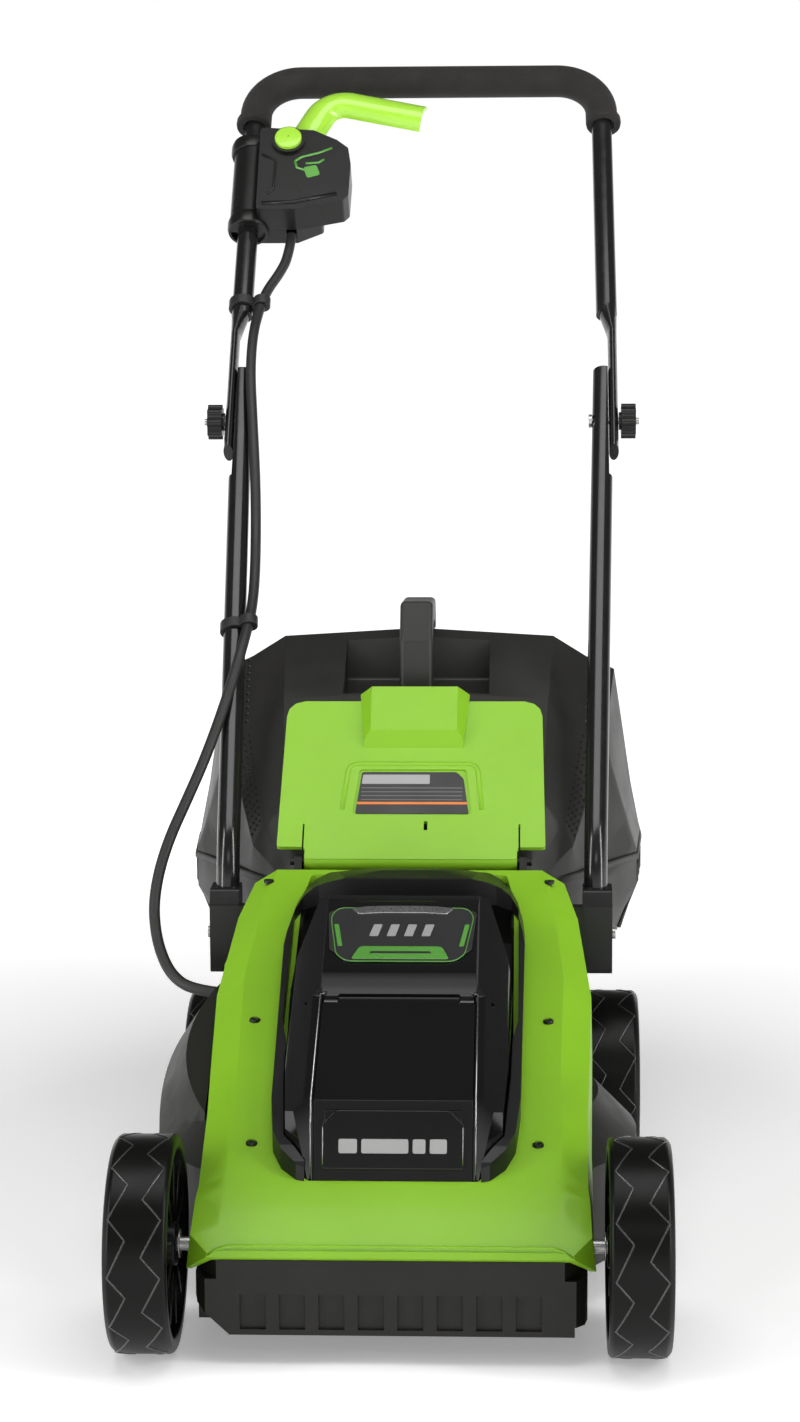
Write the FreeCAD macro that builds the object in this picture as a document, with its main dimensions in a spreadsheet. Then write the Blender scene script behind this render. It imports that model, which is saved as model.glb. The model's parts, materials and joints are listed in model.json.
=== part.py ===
import FreeCAD, Part
import math
import os

from FreeCAD import Placement, Rotation, Vector

# Push lawn mower with a battery motor, a rear grass catcher and a folding handle.
# Row frame, in millimetres: +Z up from the floor, +Y towards the person pushing, +X to the
# right of someone who faces the mower's front. The origin is on the floor, at the middle of
# the mower's length and width.

doc = FreeCAD.newDocument("push_mower")

DIMENSIONS = {
    "wheel_radius": 76, "tread_width": 44, "axle_height": 76, "axle_rod": 5, "axle_travel": 30,
    "front_axle_y": -440, "rear_axle_y": -10, "front_track": 344, "rear_track": 328,
    "blade_y": -240, "blade_length": 326, "blade_width": 44, "blade_thickness": 3.5,
    "blade_height": 50, "chamber_radius": 172, "volute_radius": 181, "volute_top": 104,
    "deck_width": 262, "skirt_clearance": 30, "chamber_roof": 98, "chute_width": 164,
    "cover_wall": 3, "slope_angle": 24.4, "slope_front_y": -500,
    "slope_front_z": 84, "lid_width": 112,
    "handle_lean": 49.8, "tube_radius": 9.5, "tube_bore": 8, "bolt_radius": 3,
    "running_gap": 0.05, "fold_y": 239, "fold_z": 611, "fold_x": 161, "grip_y": 501,
    "grip_z": 921, "grip_radius": 15, "leg_spacing": 166,
    "flattened_tube": 8.6, "flattened_depth": 24, "knob_radius": 15.5, "knob_thickness": 13,
    "flap_lean": 43, "flap_hinge_y": -60, "flap_hinge_z": 272, "flap_wall": 4,
    "catcher_wall": 3, "cable_radius": 4.6, "box_front": 30.5, "box_back": 18, "box_wall": 2.5,
    "button_radius": 12.5, "battery_width": 76, "motor_radius": 42, "shaft_radius": 4.95,
}

dims = doc.addObject("Spreadsheet::Sheet", "dims")
for row, (alias, number) in enumerate(DIMENSIONS.items(), start=1):
    dims.set(f"A{row}", alias)
    dims.set(f"B{row}", str(number))
    dims.setAlias(f"B{row}", alias)
doc.recompute()


def size(alias):
    """A driving dimension's value, read from the sheet."""
    return float(dims.get(alias))


SIDE_VIEW = Rotation(Vector(0, 1, 0), Vector(0, 0, 1), Vector(1, 0, 0))
FRONT_VIEW = Rotation(Vector(1, 0, 0), Vector(0, 0, 1), Vector(0, -1, 0))
PLAN_VIEW = Rotation()
ALONG_X = Rotation(Vector(0, 1, 0), 90)
HANDLE_TILT = Rotation(Vector(1, 0, 0), size("handle_lean"))
FLAP_TILT = Rotation(Vector(1, 0, 0), size("flap_lean"))
SLOPE_TILT = Rotation(Vector(1, 0, 0), size("slope_angle"))

AXLE_CENTRES = {
    "front": Vector(0, size("front_axle_y"), size("axle_height")),
    "rear": Vector(0, size("rear_axle_y"), size("axle_height")),
}
BLADE_AXIS = Vector(0, size("blade_y"), 0)
VOLUTE_AXIS = BLADE_AXIS + Vector(-4, 0, 0)
FOLD_POINT = Vector(0, size("fold_y"), size("fold_z"))
GRIP_CENTRE = Vector(0, size("grip_y"), size("grip_z"))
HINGE_POINT = Vector(0, size("flap_hinge_y"), size("flap_hinge_z"))
SLOPE_START = Vector(0, size("slope_front_y"), size("slope_front_z"))
FOLD_DROP = (FOLD_POINT - GRIP_CENTRE).Length

sub_parts = []


def rail_height(y):
    """Height of the cover's sloping top at a place along the mower."""
    return size("slope_front_z") + (y - size("slope_front_y")) * math.tan(
        math.radians(size("slope_angle"))
    )


def cover_top(y):
    """Height of the cover along its middle: the slope, with a steeper nose at the front."""
    bend = -434.0
    nose_pitch = 0.736
    return rail_height(max(y, bend)) - nose_pitch * max(0.0, bend - y)


def on_handle(across, along, out=0.0):
    """A point given in the handle's plane: across, up the tube from the grip, and out of it."""
    return GRIP_CENTRE + HANDLE_TILT.multVec(Vector(across, along, out))


def mirrored(half_outline):
    """A closed outline from its right half, which runs from the top to the bottom."""
    return half_outline + [(-x, z) for x, z in reversed(half_outline) if x > 0]


def inset(outline, distance):
    """A convex outline moved inwards by a distance, with as many corners."""
    count = len(outline)
    area = sum(
        outline[n - 1][0] * outline[n][1] - outline[n][0] * outline[n - 1][1]
        for n in range(count)
    )
    side = math.copysign(1.0, area)
    lines = []
    for n in range(count):
        (x0, y0), (x1, y1) = outline[n - 1], outline[n]
        length = math.hypot(x1 - x0, y1 - y0)
        inward = (-(y1 - y0) / length * side, (x1 - x0) / length * side)
        lines.append((x0 + inward[0] * distance, y0 + inward[1] * distance, x1 - x0, y1 - y0))
    corners = []
    for n in range(count):
        x0, y0, dx0, dy0 = lines[n]
        x1, y1, dx1, dy1 = lines[(n + 1) % count]
        cross = dx0 * dy1 - dy0 * dx1
        if abs(cross) < 1e-6 * math.hypot(dx0, dy0) * math.hypot(dx1, dy1):
            corners.append((x1, y1))
            continue
        along = ((x1 - x0) * dy1 - (y1 - y0) * dx1) / cross
        corners.append((x0 + dx0 * along, y0 + dy0 * along))
    return corners


def outline_edges(points, radius=0.0):
    """Edges of a closed outline, with its corners rounded to a radius where there is room."""
    count = len(points)
    corners = []
    for n in range(count):
        before = Vector(*points[n - 1], 0)
        corner = Vector(*points[n], 0)
        after = Vector(*points[(n + 1) % count], 0)
        back, forth = (before - corner), (after - corner)
        angle = back.getAngle(forth)
        shorter = min(back.Length, forth.Length)
        cut = 0.0
        if radius and angle < math.pi - 0.01:
            cut = min(radius / math.tan(angle / 2), 0.45 * shorter)
        if cut < 0.05:
            corners.append((corner, None, corner))
            continue
        start = corner + back.normalize() * cut
        end = corner + forth.normalize() * cut
        bisector = (back + forth).normalize()
        true_radius = cut * math.tan(angle / 2)
        middle = corner + bisector * (true_radius / math.sin(angle / 2) - true_radius)
        corners.append((start, middle, end))
    edges = []
    for n in range(count):
        start, middle, end = corners[n]
        if middle is not None:
            edges.append(Part.Arc(start, middle, end))
        following = corners[(n + 1) % count][0]
        if (following - end).Length > 1e-6:
            edges.append(Part.LineSegment(end, following))
    return edges


def unique(name):
    """A helper object's name: the piece it helps to make, with a count."""
    return f"{name}_{len(doc.Objects)}"


def sketch_on(body, geometry):
    sketch = body.newObject("Sketcher::SketchObject", unique("outline"))
    plane = next(f for f in body.Origin.OriginFeatures if f.Role == "XY_Plane")
    sketch.AttachmentSupport = [(plane, "")]
    sketch.MapMode = "FlatFace"
    sketch.addGeometry(geometry, False)
    return sketch


def prism(name, view, outline, length, start=0.0, radius=0.0, origin=Vector()):
    """A padded outline. The start is measured from the origin, along the pad's direction.

    A start of "middle" puts half of the length on each side of the origin.
    """
    body = doc.addObject("PartDesign::Body", unique(name))
    pad = body.newObject("PartDesign::Pad", unique("pad"))
    pad.Profile = sketch_on(body, outline_edges(outline, radius))
    pad.setExpression("Length", str(length))
    centred = start == "middle"
    pad.Midplane = centred
    shift = 0.0 if centred else start
    body.Placement = Placement(origin + view.multVec(Vector(0, 0, shift)), view)
    return body


def side_prism(name, outline, width, radius=0.0):
    """A solid with its outline in the Y, Z plane and its width centred on X = 0."""
    return prism(name, SIDE_VIEW, outline, width, "middle", radius)


def plan_prism(name, outline, bottom, height, radius=0.0):
    """A solid with its outline in the X, Y plane."""
    return prism(name, PLAN_VIEW, outline, height, bottom, radius)


def cylinder(name, radius, length, start, rotation=PLAN_VIEW):
    """A cylinder whose axis is Z, or Z turned by the rotation."""
    solid = doc.addObject("Part::Cylinder", unique(name))
    solid.setExpression("Radius", str(radius))
    solid.setExpression("Height", str(length))
    solid.Placement = Placement(start, rotation)
    return solid


def cone(name, bottom_radius, top_radius, height, start, rotation=PLAN_VIEW, sweep=360):
    solid = doc.addObject("Part::Cone", unique(name))
    solid.setExpression("Radius1", str(bottom_radius))
    solid.setExpression("Radius2", str(top_radius))
    solid.setExpression("Height", str(height))
    solid.Angle = sweep
    solid.Placement = Placement(start, rotation)
    return solid


def box(name, low, high):
    """A box between two corners."""
    solid = doc.addObject("Part::Box", unique(name))
    solid.Length, solid.Width, solid.Height = (high[n] - low[n] for n in range(3))
    solid.Placement = Placement(Vector(*low), Rotation())
    return solid


def fuse(name, *solids):
    if len(solids) == 1:
        return solids[0]
    joined = doc.addObject("Part::MultiFuse", unique(name))
    joined.Shapes = list(solids)
    return joined


def cut(name, base, *tools):
    """A solid less one or more others."""
    left = doc.addObject("Part::Cut", unique(name))
    left.Base = base
    left.Tool = fuse(name, *tools)
    return left


def common(name, *solids):
    shared = doc.addObject("Part::MultiCommon", unique(name))
    shared.Shapes = list(solids)
    return shared


def shape_of(name, shape, placement=None):
    """A document object for a loft or a sweep, which Part's own functions make."""
    feature = doc.addObject("Part::Feature", unique(name))
    feature.Shape = shape
    if placement is not None:
        feature.Placement = placement
    return feature


def group(name, solids):
    """Separate solids that share one node, such as a set of screws."""
    compound = doc.addObject("Part::Compound", unique(name))
    compound.Links = list(solids)
    return compound


def node(label, solid):
    """Names a finished sub-part after its node."""
    solid.Label = label
    sub_parts.append(solid)
    return solid


def section(y, half_outline, shrink=0.0):
    """A closed wire across the mower at one place along its length."""
    outline = mirrored(half_outline)
    if shrink:
        outline = inset(outline, shrink)
    points = [Vector(x, y, z) for x, z in outline]
    return Part.makePolygon(points + points[:1])


def loft(sections, shrink=0.0, first_shift=0.0, last_shift=0.0):
    """A solid with flat facets through half outlines placed along Y."""
    wires = []
    for number, (y, half_outline) in enumerate(sections):
        shift = 0.0
        if number == 0:
            shift = first_shift
        elif number == len(sections) - 1:
            shift = last_shift
        wires.append(section(y + shift, half_outline, shrink))
    return Part.makeLoft(wires, True, True)


def bent_path(points, radii):
    """Straight runs joined by tangent arcs, with one radius for each inner point."""
    edges = []
    start = points[0]
    for before, corner, after, radius in zip(points, points[1:], points[2:], radii):
        back = (before - corner).normalize()
        forth = (after - corner).normalize()
        half_gap = back.getAngle(forth) / 2
        tangent = radius / math.tan(half_gap)
        arc_start = corner + back * tangent
        arc_end = corner + forth * tangent
        bisector = (back + forth).normalize()
        middle = corner + bisector * (radius / math.sin(half_gap) - radius)
        edges.append(Part.LineSegment(start, arc_start).toShape())
        edges.append(Part.Arc(arc_start, middle, arc_end).toShape())
        start = arc_end
    edges.append(Part.LineSegment(start, points[-1]).toShape())
    return Part.Wire(edges)


def swept_rod(path, radius):
    """A round rod along a path."""
    first = path.Edges[0]
    direction = first.tangentAt(first.FirstParameter)
    ring = Part.Wire([Part.makeCircle(radius, first.valueAt(first.FirstParameter), direction)])
    return path.makePipeShell([ring], True, False)


def easy_radii(points):
    """The largest easy bend at each inner point of a cable's route."""
    radii = []
    for before, corner, after in zip(points, points[1:], points[2:]):
        shorter = min((before - corner).Length, (after - corner).Length)
        turn = math.pi - (before - corner).getAngle(after - corner)
        radii.append(0.45 * shorter / math.tan(turn / 2))
    return radii


# ---------------------------------------------------------------- deck, cover and hood

GLAND_FACE = Vector(-146, -125, 178)  # where the start cable leaves the deck
MOTOR_SCREWS = [(30, 30), (-30, 30), (-30, -30), (30, -30)]
COVER_GAP = 5.0  # from the cover's outer surface down to the deck under it
HOOD_GAP = 0.5
HOOD_DEPTH = 13.0  # how far the hood's rim reaches below the cover's top


def axle_slot(end):
    """The upright slot that an axle rod can move down in."""
    axle = AXLE_CENTRES[end]
    half = size("axle_rod") + 0.6
    low = axle.z - size("axle_travel") - half
    return box("axle_slot", (-200, axle.y - half, low), (200, axle.y + half, axle.z + half))


def make_lower_deck():
    """The black deck: skirt, blade chamber, motor bay, rear chute and axle slots."""
    skirt = size("skirt_clearance")
    front_skirt_foot = 22
    slope_top = [(y, cover_top(y) - COVER_GAP) for y in (-474, -434, -80)]
    core_side = side_prism(
        "core_side",
        [(-474, skirt), *slope_top, (-80, skirt)],
        "dims.deck_width",
    )
    core_plan = plan_prism(
        "core_plan",
        mirrored([(120, -474), (131, -461), (131, -150), (114, -84), (114, -72)]),
        0,
        320,
    )
    core = common("core", core_side, core_plan, shape_of("under_cover", under_cover()))
    rear_wall = side_prism(
        "rear_wall",
        [(-90, skirt), (-90, 250), (-84, 262), (-72, 262), (-72, skirt)],
        228,
    )
    front_skirt = plan_prism(
        "front_skirt",
        mirrored([(128, -474), (134, -467), (136, -456), (136, -400), (100, -400)]),
        front_skirt_foot,
        40,
    )
    rear_platform = side_prism(
        "rear_platform",
        [(-90, skirt), (-90, 112), (2, 112), (14, 100), (14, 50), (-6, skirt)],
        "dims.deck_width",
        4,
    )
    drum = cylinder("drum", "dims.volute_radius", "dims.volute_top - dims.skirt_clearance",
                    VOLUTE_AXIS + Vector(0, 0, skirt))
    shoulder = cone("shoulder", "dims.volute_radius", 152, 30,
                    VOLUTE_AXIS + Vector(0, 0, size("volute_top")))
    rise_top = VOLUTE_AXIS + Vector(0, 0, 166)
    rise_depth = 60
    rise = cut(
        "rise",
        common(
            "rise_form",
            cylinder("rise_drum", "dims.volute_radius - 0.2", 180, VOLUTE_AXIS + Vector(0, 0, 60)),
            cone("rise_cone", 193, 160, rise_depth,
                 rise_top - SLOPE_TILT.multVec(Vector(0, 0, rise_depth)), SLOPE_TILT),
        ),
        box("inside_cover", (-143.5, -450, 50), (220, 50, 260)),
    )
    ears = [
        box("ear", (min(side * 110, side * 139), -84, 160), (max(side * 110, side * 139), -72, 240))
        for side in (-1, 1)
    ]
    hinge_ears = [
        prism("hinge_ear", SIDE_VIEW,
              [(-76, 250), (-66, 264), (-54, 266), (-54, 277), (-66, 277), (-76, 262)],
              6, side * 91 - 3)
        for side in (-1, 1)
    ]
    solid = fuse("deck_solid", core, rear_wall, front_skirt, rear_platform, drum, shoulder, rise,
                 *ears, *hinge_ears)

    chamber = cylinder("chamber", "dims.chamber_radius", "dims.chamber_roof - dims.skirt_clearance + 1",
                       BLADE_AXIS + Vector(0, 0, skirt - 1))
    front_space = cylinder("front_space", "dims.chamber_radius", 12,
                           BLADE_AXIS + Vector(0, 0, front_skirt_foot - 1))
    front_cavity = side_prism(
        "front_cavity",
        [(-466, front_skirt_foot - 1), (-466, 70), (-442, 92), (-417, 95), (-417, front_skirt_foot - 1)],
        250,
    )
    bay = side_prism("bay", [(-430, 102), (-150, 102), (-150, 300), (-430, 300)], 252)
    chute = side_prism(
        "chute",
        [(-146, 60), (-146, 150), (-118, 212), (-71, 228), (-71, 120), (-92, 112), (-98, 60)],
        "dims.chute_width",
    )
    finger_well = side_prism(
        "finger_well",
        [(-151, 162), (-123, 219), (-94, 231), (-94, 300), (-151, 300)],
        "dims.chute_width",
    )
    side_tubs = [
        box("side_tub", (min(side * 87, side * 108), -144, 108), (max(side * 87, side * 108), -78, 300))
        for side in (-1, 1)
    ]
    rear_cavity = box("rear_cavity", (-125, -62, skirt - 1), (125, 8, 98))
    outer_form, hollow_form = cover_forms(0.4)
    recess_step = 27.2
    recesses = [
        box("recess", (-104 + n * recess_step, -475, 26), (-86 + n * recess_step, -471.5, 51))
        for n in range(8)
    ]
    left_chamfer = prism("left_chamfer", FRONT_VIEW, [(-140, 16), (-140, 46), (-137, 46), (-105, 16)],
                         60, 440)
    right_notch = box("right_notch", (127, -500, 16), (145, -399, 29))
    shaft_hole = cylinder("shaft_hole", 14, 40, BLADE_AXIS + Vector(0, 0, 80))
    screw_holes = [
        cylinder("screw_hole", 2.6, 30, BLADE_AXIS + Vector(x, y, 85)) for x, y in MOTOR_SCREWS
    ]
    hinge_hole = cylinder("hinge_hole", "dims.bolt_radius", 240,
                          HINGE_POINT + Vector(-120, 0, 0), ALONG_X)
    gland_hole = cylinder("gland_hole", 6, 60, GLAND_FACE, ALONG_X)
    collar_room = cylinder("collar_room", 8.4, 8, GLAND_FACE - Vector(1, 0, 0), ALONG_X)
    node("lower_deck", cut(
        "lower_deck", solid, chamber, front_space, front_cavity, bay, chute, finger_well, *side_tubs,
        rear_cavity, axle_slot("front"), axle_slot("rear"), *recesses, left_chamfer,
        right_notch, shaft_hole, *screw_holes, hinge_hole, gland_hole,
        collar_room, shape_of("cover_space", outer_form.cut(hollow_form)), *cover_screw_bores(2.1),
    ))


COVER_SCREWS = [(102, -390), (110, -263), (112, -102)]


def cover_screw_bores(radius):
    """Bores down through the rails, at the six cover screws."""
    bores = []
    for x, y in COVER_SCREWS:
        for side in (-1, 1):
            bores.append(cylinder("cover_screw_bore", radius, 26,
                                  Vector(side * x, y, rail_height(y) - 24)))
    return bores


def cover_sections():
    """Half outlines of the cover: top, rail crease, shoulder, side wall's foot."""
    stations = [
        (-476, 126, 127, 116, 78, 2), (-461, 139, 142, 118, 65, 5), (-434, 138, 141.5, 117, 67, 8),
        (-420, 137, 141, 117, 73, 9),
        (-345, 138, 141, 118, 112, 12), (-300, 140, 142, 119, 138, 13), (-216, 143, 144, 122, 150, 14),
        (-129, 134, 135, 114, 190, 12), (-88, 124, 125, 106, 196, 11),
    ]
    sections = []
    for y, shoulder, foot, crease, bottom, drop in stations:
        top = cover_top(y)
        sections.append((y, [(0, top), (crease, top), (shoulder, top - drop), (foot, bottom), (0, bottom)]))
    return sections


def cover_forms(margin=0.0):
    """The cover's outer form and its hollow, with its wall thickened by a margin."""
    wall = size("cover_wall")
    lowered = []
    for y, half_outline in cover_sections():
        foot, bottom = half_outline[-2]
        below = bottom - 2 * wall - 4
        lowered.append((y, half_outline[:-2] + [(foot, below), (0, below)]))
    outer = loft(cover_sections(), -margin, -margin, margin)
    return outer, loft(lowered, wall + margin, wall + margin, 10)


def under_cover():
    """The room under the cover, down to below the deck's skirt."""
    clearance = size("cover_wall") + 0.4
    deepened = []
    for y, half_outline in cover_sections():
        foot = half_outline[-2][0]
        deepened.append((y, half_outline[:-2] + [(foot, 10), (0, 10)]))
    return loft(deepened, clearance, 0, 10)


def make_upper_cover():
    """The green cover: a thin shell on the deck, open for the hood and the carry handle."""
    outer, hollow = cover_forms()
    shell = shape_of("cover_shell", outer.cut(hollow))
    opening = plan_prism(
        "hood_opening",
        mirrored([(60, -426), (79, -402), (84, -344), (84, -125), (78, -94)]),
        50,
        300,
        4,
    )
    recesses = [
        cylinder("screw_recess", 4.2, 20, Vector(side * x, y, rail_height(y) - 1.5))
        for x, y in COVER_SCREWS for side in (-1, 1)
    ]
    node("upper_cover", cut("upper_cover", shell, opening, axle_slot("front"), *recesses,
                            *cover_screw_bores(2.2)))


def make_cover_screws():
    solids = []
    for x, y in COVER_SCREWS:
        for side in (-1, 1):
            foot = Vector(side * x, y, rail_height(y) - 20)
            head = cylinder("screw_head", 3.9, 2.4, foot + Vector(0, 0, 18.6))
            socket = cylinder("screw_socket", 1.6, 2, foot + Vector(0, 0, 19.6))
            shank = cylinder("screw_shank", 2, 19, foot)
            solids.append(cut("cover_screw", fuse("screw", head, shank), socket))
    node("cover_screws", group("cover_screws", solids))


def hood_side_outline():
    """The hood's outline seen from the side: lid step, badge slope and rear drop."""
    return [
        (-424, rail_height(-424) - HOOD_DEPTH), (-424, 117), (-408, 171), (-300, 220),
        (-296, 236), (-288, 240), (-215, 270), (-196, 273), (-170, 258),
        (-165, rail_height(-165) - HOOD_DEPTH),
    ]


def hood_block(name, shrink):
    """The hood's solid form, or its hollow when shrunk by the wall."""
    outline = hood_side_outline()
    if shrink:
        outline = [(-424 + shrink, 60), (-424 + shrink, 116), (-410 + 1.6 * shrink, 171 - shrink),
                   (-300, 220 - 1.2 * shrink), (-289, 237 - shrink), (-215, 270 - 1.2 * shrink),
                   (-198, 273 - 1.4 * shrink), (-170 - shrink, 258 - shrink), (-165 - shrink, 60)]
    side = side_prism(name + "_side", outline, 180)
    plan = plan_prism(
        name + "_plan",
        mirrored([(60 - shrink, -424 + shrink * 0.9), (77 - shrink, -402), (81 - shrink, -344),
                  (83 - shrink, -262), (80 - shrink, -236), (64 - shrink, -186),
                  (54 - shrink, -170 - shrink * 0.9)]),
        60,
        260,
    )
    across = mirrored([(54 - shrink, 74), (58 - shrink, 46), (80 - shrink, 27), (83 - shrink, 20),
                       (83 - shrink, -100)])
    slope = prism(name + "_across", Rotation(Vector(1, 0, 0), size("slope_angle") + 90), across,
                  600, -550, 0, SLOPE_START)
    return common(name, side, plan, slope)


LID_PIN = Vector(0, -302, 213)


def make_motor_hood():
    """The black hood over the motor and the battery bay."""
    wall = 3.0
    lid_gap = 0.6
    half_lid = size("lid_width") / 2 + lid_gap
    lid_opening = plan_prism("lid_opening", [(-half_lid, -440), (half_lid, -440),
                                             (half_lid, -298), (-half_lid, -298)], 114, 200)
    shell = cut("hood_shell", hood_block("hood", 0.0), hood_block("hood_hollow", wall), lid_opening)
    lugs = []
    for side in (-1, 1):
        lugs.append(cylinder("lid_lug", 5.2, 10, LID_PIN + Vector(side * 50 - 5, 0, 0), ALONG_X))
        lugs.append(prism("lug_web", SIDE_VIEW,
                          [(-302, 208), (-302, 218), (-295, 222.5), (-289, 226), (-289, 208)],
                          10, side * 50 - 5))
    pin_bore = cylinder("pin_bore", 2, 140, LID_PIN + Vector(-70, 0, 0), ALONG_X)
    node("motor_hood", cut("motor_hood", fuse("hood_with_lugs", shell, *lugs), pin_bore))


LID_SECTION = [(-424, 115), (-408.5, 171), (-303, 219.5), (-303, 216), (-406, 168.5), (-420.5, 115)]


def make_battery_lid():
    """The hinged lid over the battery: a sloping top and an upright front panel."""
    skin = side_prism("lid_skin", LID_SECTION, "dims.lid_width")
    barrel = cylinder("lid_barrel", 4.5, 88, LID_PIN + Vector(-44, 0, 0), ALONG_X)
    panel = prism("lid_panel", SIDE_VIEW,
                  [(-423.2, 124), (-411.5, 165), (-414, 165), (-425.6, 124)], 96, "middle")
    bore = cylinder("lid_bore", "2 + dims.running_gap", 100, LID_PIN + Vector(-50, 0, 0), ALONG_X)
    notches = [box("lug_notch", (x, -309.5, 200), (x + 13.6, -295, 230)) for x in (-58, 44.4)]
    node("battery_lid", cut("battery_lid", fuse("lid", skin, barrel, panel), bore, *notches))


def make_hood_fittings():
    node("lid_hinge_pin", cylinder("lid_hinge_pin", 2, 110, LID_PIN + Vector(-55, 0, 0), ALONG_X))
    badge_slope = math.degrees(math.atan2(30, 73))
    badge = prism(
        "badge_panel",
        Rotation(Vector(1, 0, 0), badge_slope),
        mirrored([(40, -36), (53, -20), (56, 28), (44, 33)]),
        1.2,
        0.02,
        4,
        Vector(0, -251.5, 255),
    )
    node("badge_panel", badge)


def make_carry_handle():
    """The arch round the hood: two side arms and a rear bar with a finger gap under it."""
    band = side_prism(
        "arch_band",
        [(-430, rail_height(-430) + 0.2), (-429, rail_height(-429) + 8),
         (-424, rail_height(-424) + 13), (-412, rail_height(-412) + 15.5), (-200, 238),
         (-142, 266), (-130, 273), (-118, 277), (-106, 276), (-97, 271),
         (-91, rail_height(-91) + 0.2)],
        196,
        3,
    )
    low_bar = side_prism("low_bar", [(-128, 250), (-130, 262), (-97, 268), (-97, 252)], 144, 3)
    plan = plan_prism(
        "arch_plan",
        mirrored([(58, -427.5), (68, -425.5), (79, -415), (86, -399), (89.5, -366), (91.5, -266),
                  (92.5, -194), (92.5, -134), (91, -122), (86, -106), (79, -97), (68, -92),
                  (40, -91)]),
        100,
        220,
    )
    from_front = prism(
        "arch_from_front",
        FRONT_VIEW,
        mirrored([(20, 277), (45, 274), (64, 269.5), (74, 265.5), (81, 260.5), (87, 253),
                  (91, 243), (94, 228), (96, 100)]),
        400,
        60,
    )
    inside = plan_prism(
        "arch_inside",
        mirrored([(62, -440), (62, -423.6), (78.2, -402.4), (82.4, -344), (83.6, -305),
                  (87.6, -286), (87.6, -150), (82, -138), (70, -131)]),
        100,
        220,
    )
    under_bar = side_prism("under_bar", [(-140, 200), (-140, 249), (-80, 249), (-80, 200)], 166)
    arch = cut("carry_handle", common("arch", fuse("arch_bars", band, low_bar), plan,
                                     from_front), inside,
               under_bar)
    node("carry_handle", arch)


# ---------------------------------------------------------------- motor, battery and blade

def make_motor():
    """The motor on its plate, with the rotor, the shaft and the blade under the deck."""
    floor = 102.0
    screw_holes = [cylinder("plate_hole", 2.6, 20, BLADE_AXIS + Vector(x, y, 95)) for x, y in MOTOR_SCREWS]
    plate = plan_prism("plate", [(-52, -292), (52, -292), (52, -188), (-52, -188)], floor, 3, 10)
    plate_bore = cylinder("plate_bore", 13, 20, BLADE_AXIS + Vector(0, 0, 95))
    node("motor_plate", cut("motor_plate", plate, plate_bore, *screw_holes))

    can = cylinder("can", "dims.motor_radius", 63, BLADE_AXIS + Vector(0, 0, floor + 3))
    hollow = cylinder("can_hollow", "dims.motor_radius - 5", 45, BLADE_AXIS + Vector(0, 0, 114))
    seats = cylinder("bearing_seats", 11, 70, BLADE_AXIS + Vector(0, 0, 100))
    tapped = [cylinder("tapped_hole", 2.4, 8, BLADE_AXIS + Vector(x, y, 104)) for x, y in MOTOR_SCREWS]
    node("motor_housing", cut("motor_housing", can, hollow, seats, *tapped))

    rings = []
    for height in (106, 160):
        ring = cylinder("race", 11, 7, BLADE_AXIS + Vector(0, 0, height))
        bore = cylinder("race_bore", "dims.shaft_radius + dims.running_gap", 9,
                        BLADE_AXIS + Vector(0, 0, height - 1))
        rings.append(cut("bearing", ring, bore))
    node("motor_bearings", group("motor_bearings", rings))

    shaft = cylinder("shaft", "dims.shaft_radius", 112, BLADE_AXIS + Vector(0, 0, 58))
    core = cylinder("rotor_core", 34, 36, BLADE_AXIS + Vector(0, 0, 118))
    node("motor_rotor", fuse("motor_rotor", shaft, core))

    screws = []
    for x, y in MOTOR_SCREWS:
        head = cylinder("motor_screw_head", 4.5, 3, BLADE_AXIS + Vector(x, y, 95))
        shank = cylinder("motor_screw_shank", 2.3, 13, BLADE_AXIS + Vector(x, y, 98))
        screws.append(fuse("motor_screw", head, shank))
    node("motor_screws", group("motor_screws", screws))

    collar = cylinder("collar", 17, 5, BLADE_AXIS + Vector(0, 0, 53.5))
    neck = cylinder("neck", 9, 24, BLADE_AXIS + Vector(0, 0, 56))
    adapter_bore = cylinder("adapter_bore", "dims.shaft_radius", 40, BLADE_AXIS + Vector(0, 0, 58))
    bolt_bore = cylinder("adapter_bolt_bore", 4, 10, BLADE_AXIS + Vector(0, 0, 50))
    node("blade_adapter", cut("blade_adapter", fuse("adapter", collar, neck), adapter_bore, bolt_bore))

    half, wide = size("blade_length") / 2, size("blade_width") / 2
    bar = prism("blade_bar", PLAN_VIEW,
                [(-half, -wide + 8), (-half, wide), (-60, wide), (60, wide), (half, wide - 8),
                 (half, -wide), (60, -wide), (-60, -wide)],
                "dims.blade_thickness", size("blade_height"), 2, BLADE_AXIS)
    wings = []
    for side in (-1, 1):
        wing = doc.addObject("Part::Box", unique("blade_wing"))
        wing.Length, wing.Width, wing.Height = 52, 3, 16
        wing.Placement = Placement(
            BLADE_AXIS + Vector(side * 158, side * (wide - 1.5), size("blade_height")),
            Rotation(Vector(0, 0, 1), 0 if side < 0 else 180),
        )
        wings.append(wing)
    blade_bore = cylinder("blade_bore", 4, 20, BLADE_AXIS + Vector(0, 0, 45))
    node("blade", cut("blade", fuse("blade_and_wings", bar, *wings), blade_bore))
    head = cylinder("blade_bolt_head", 8, 6, BLADE_AXIS + Vector(0, 0, 44))
    shank = cylinder("blade_bolt_shank", 3.95, 8, BLADE_AXIS + Vector(0, 0, 50))
    node("blade_bolt", fuse("blade_bolt", head, shank))


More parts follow.
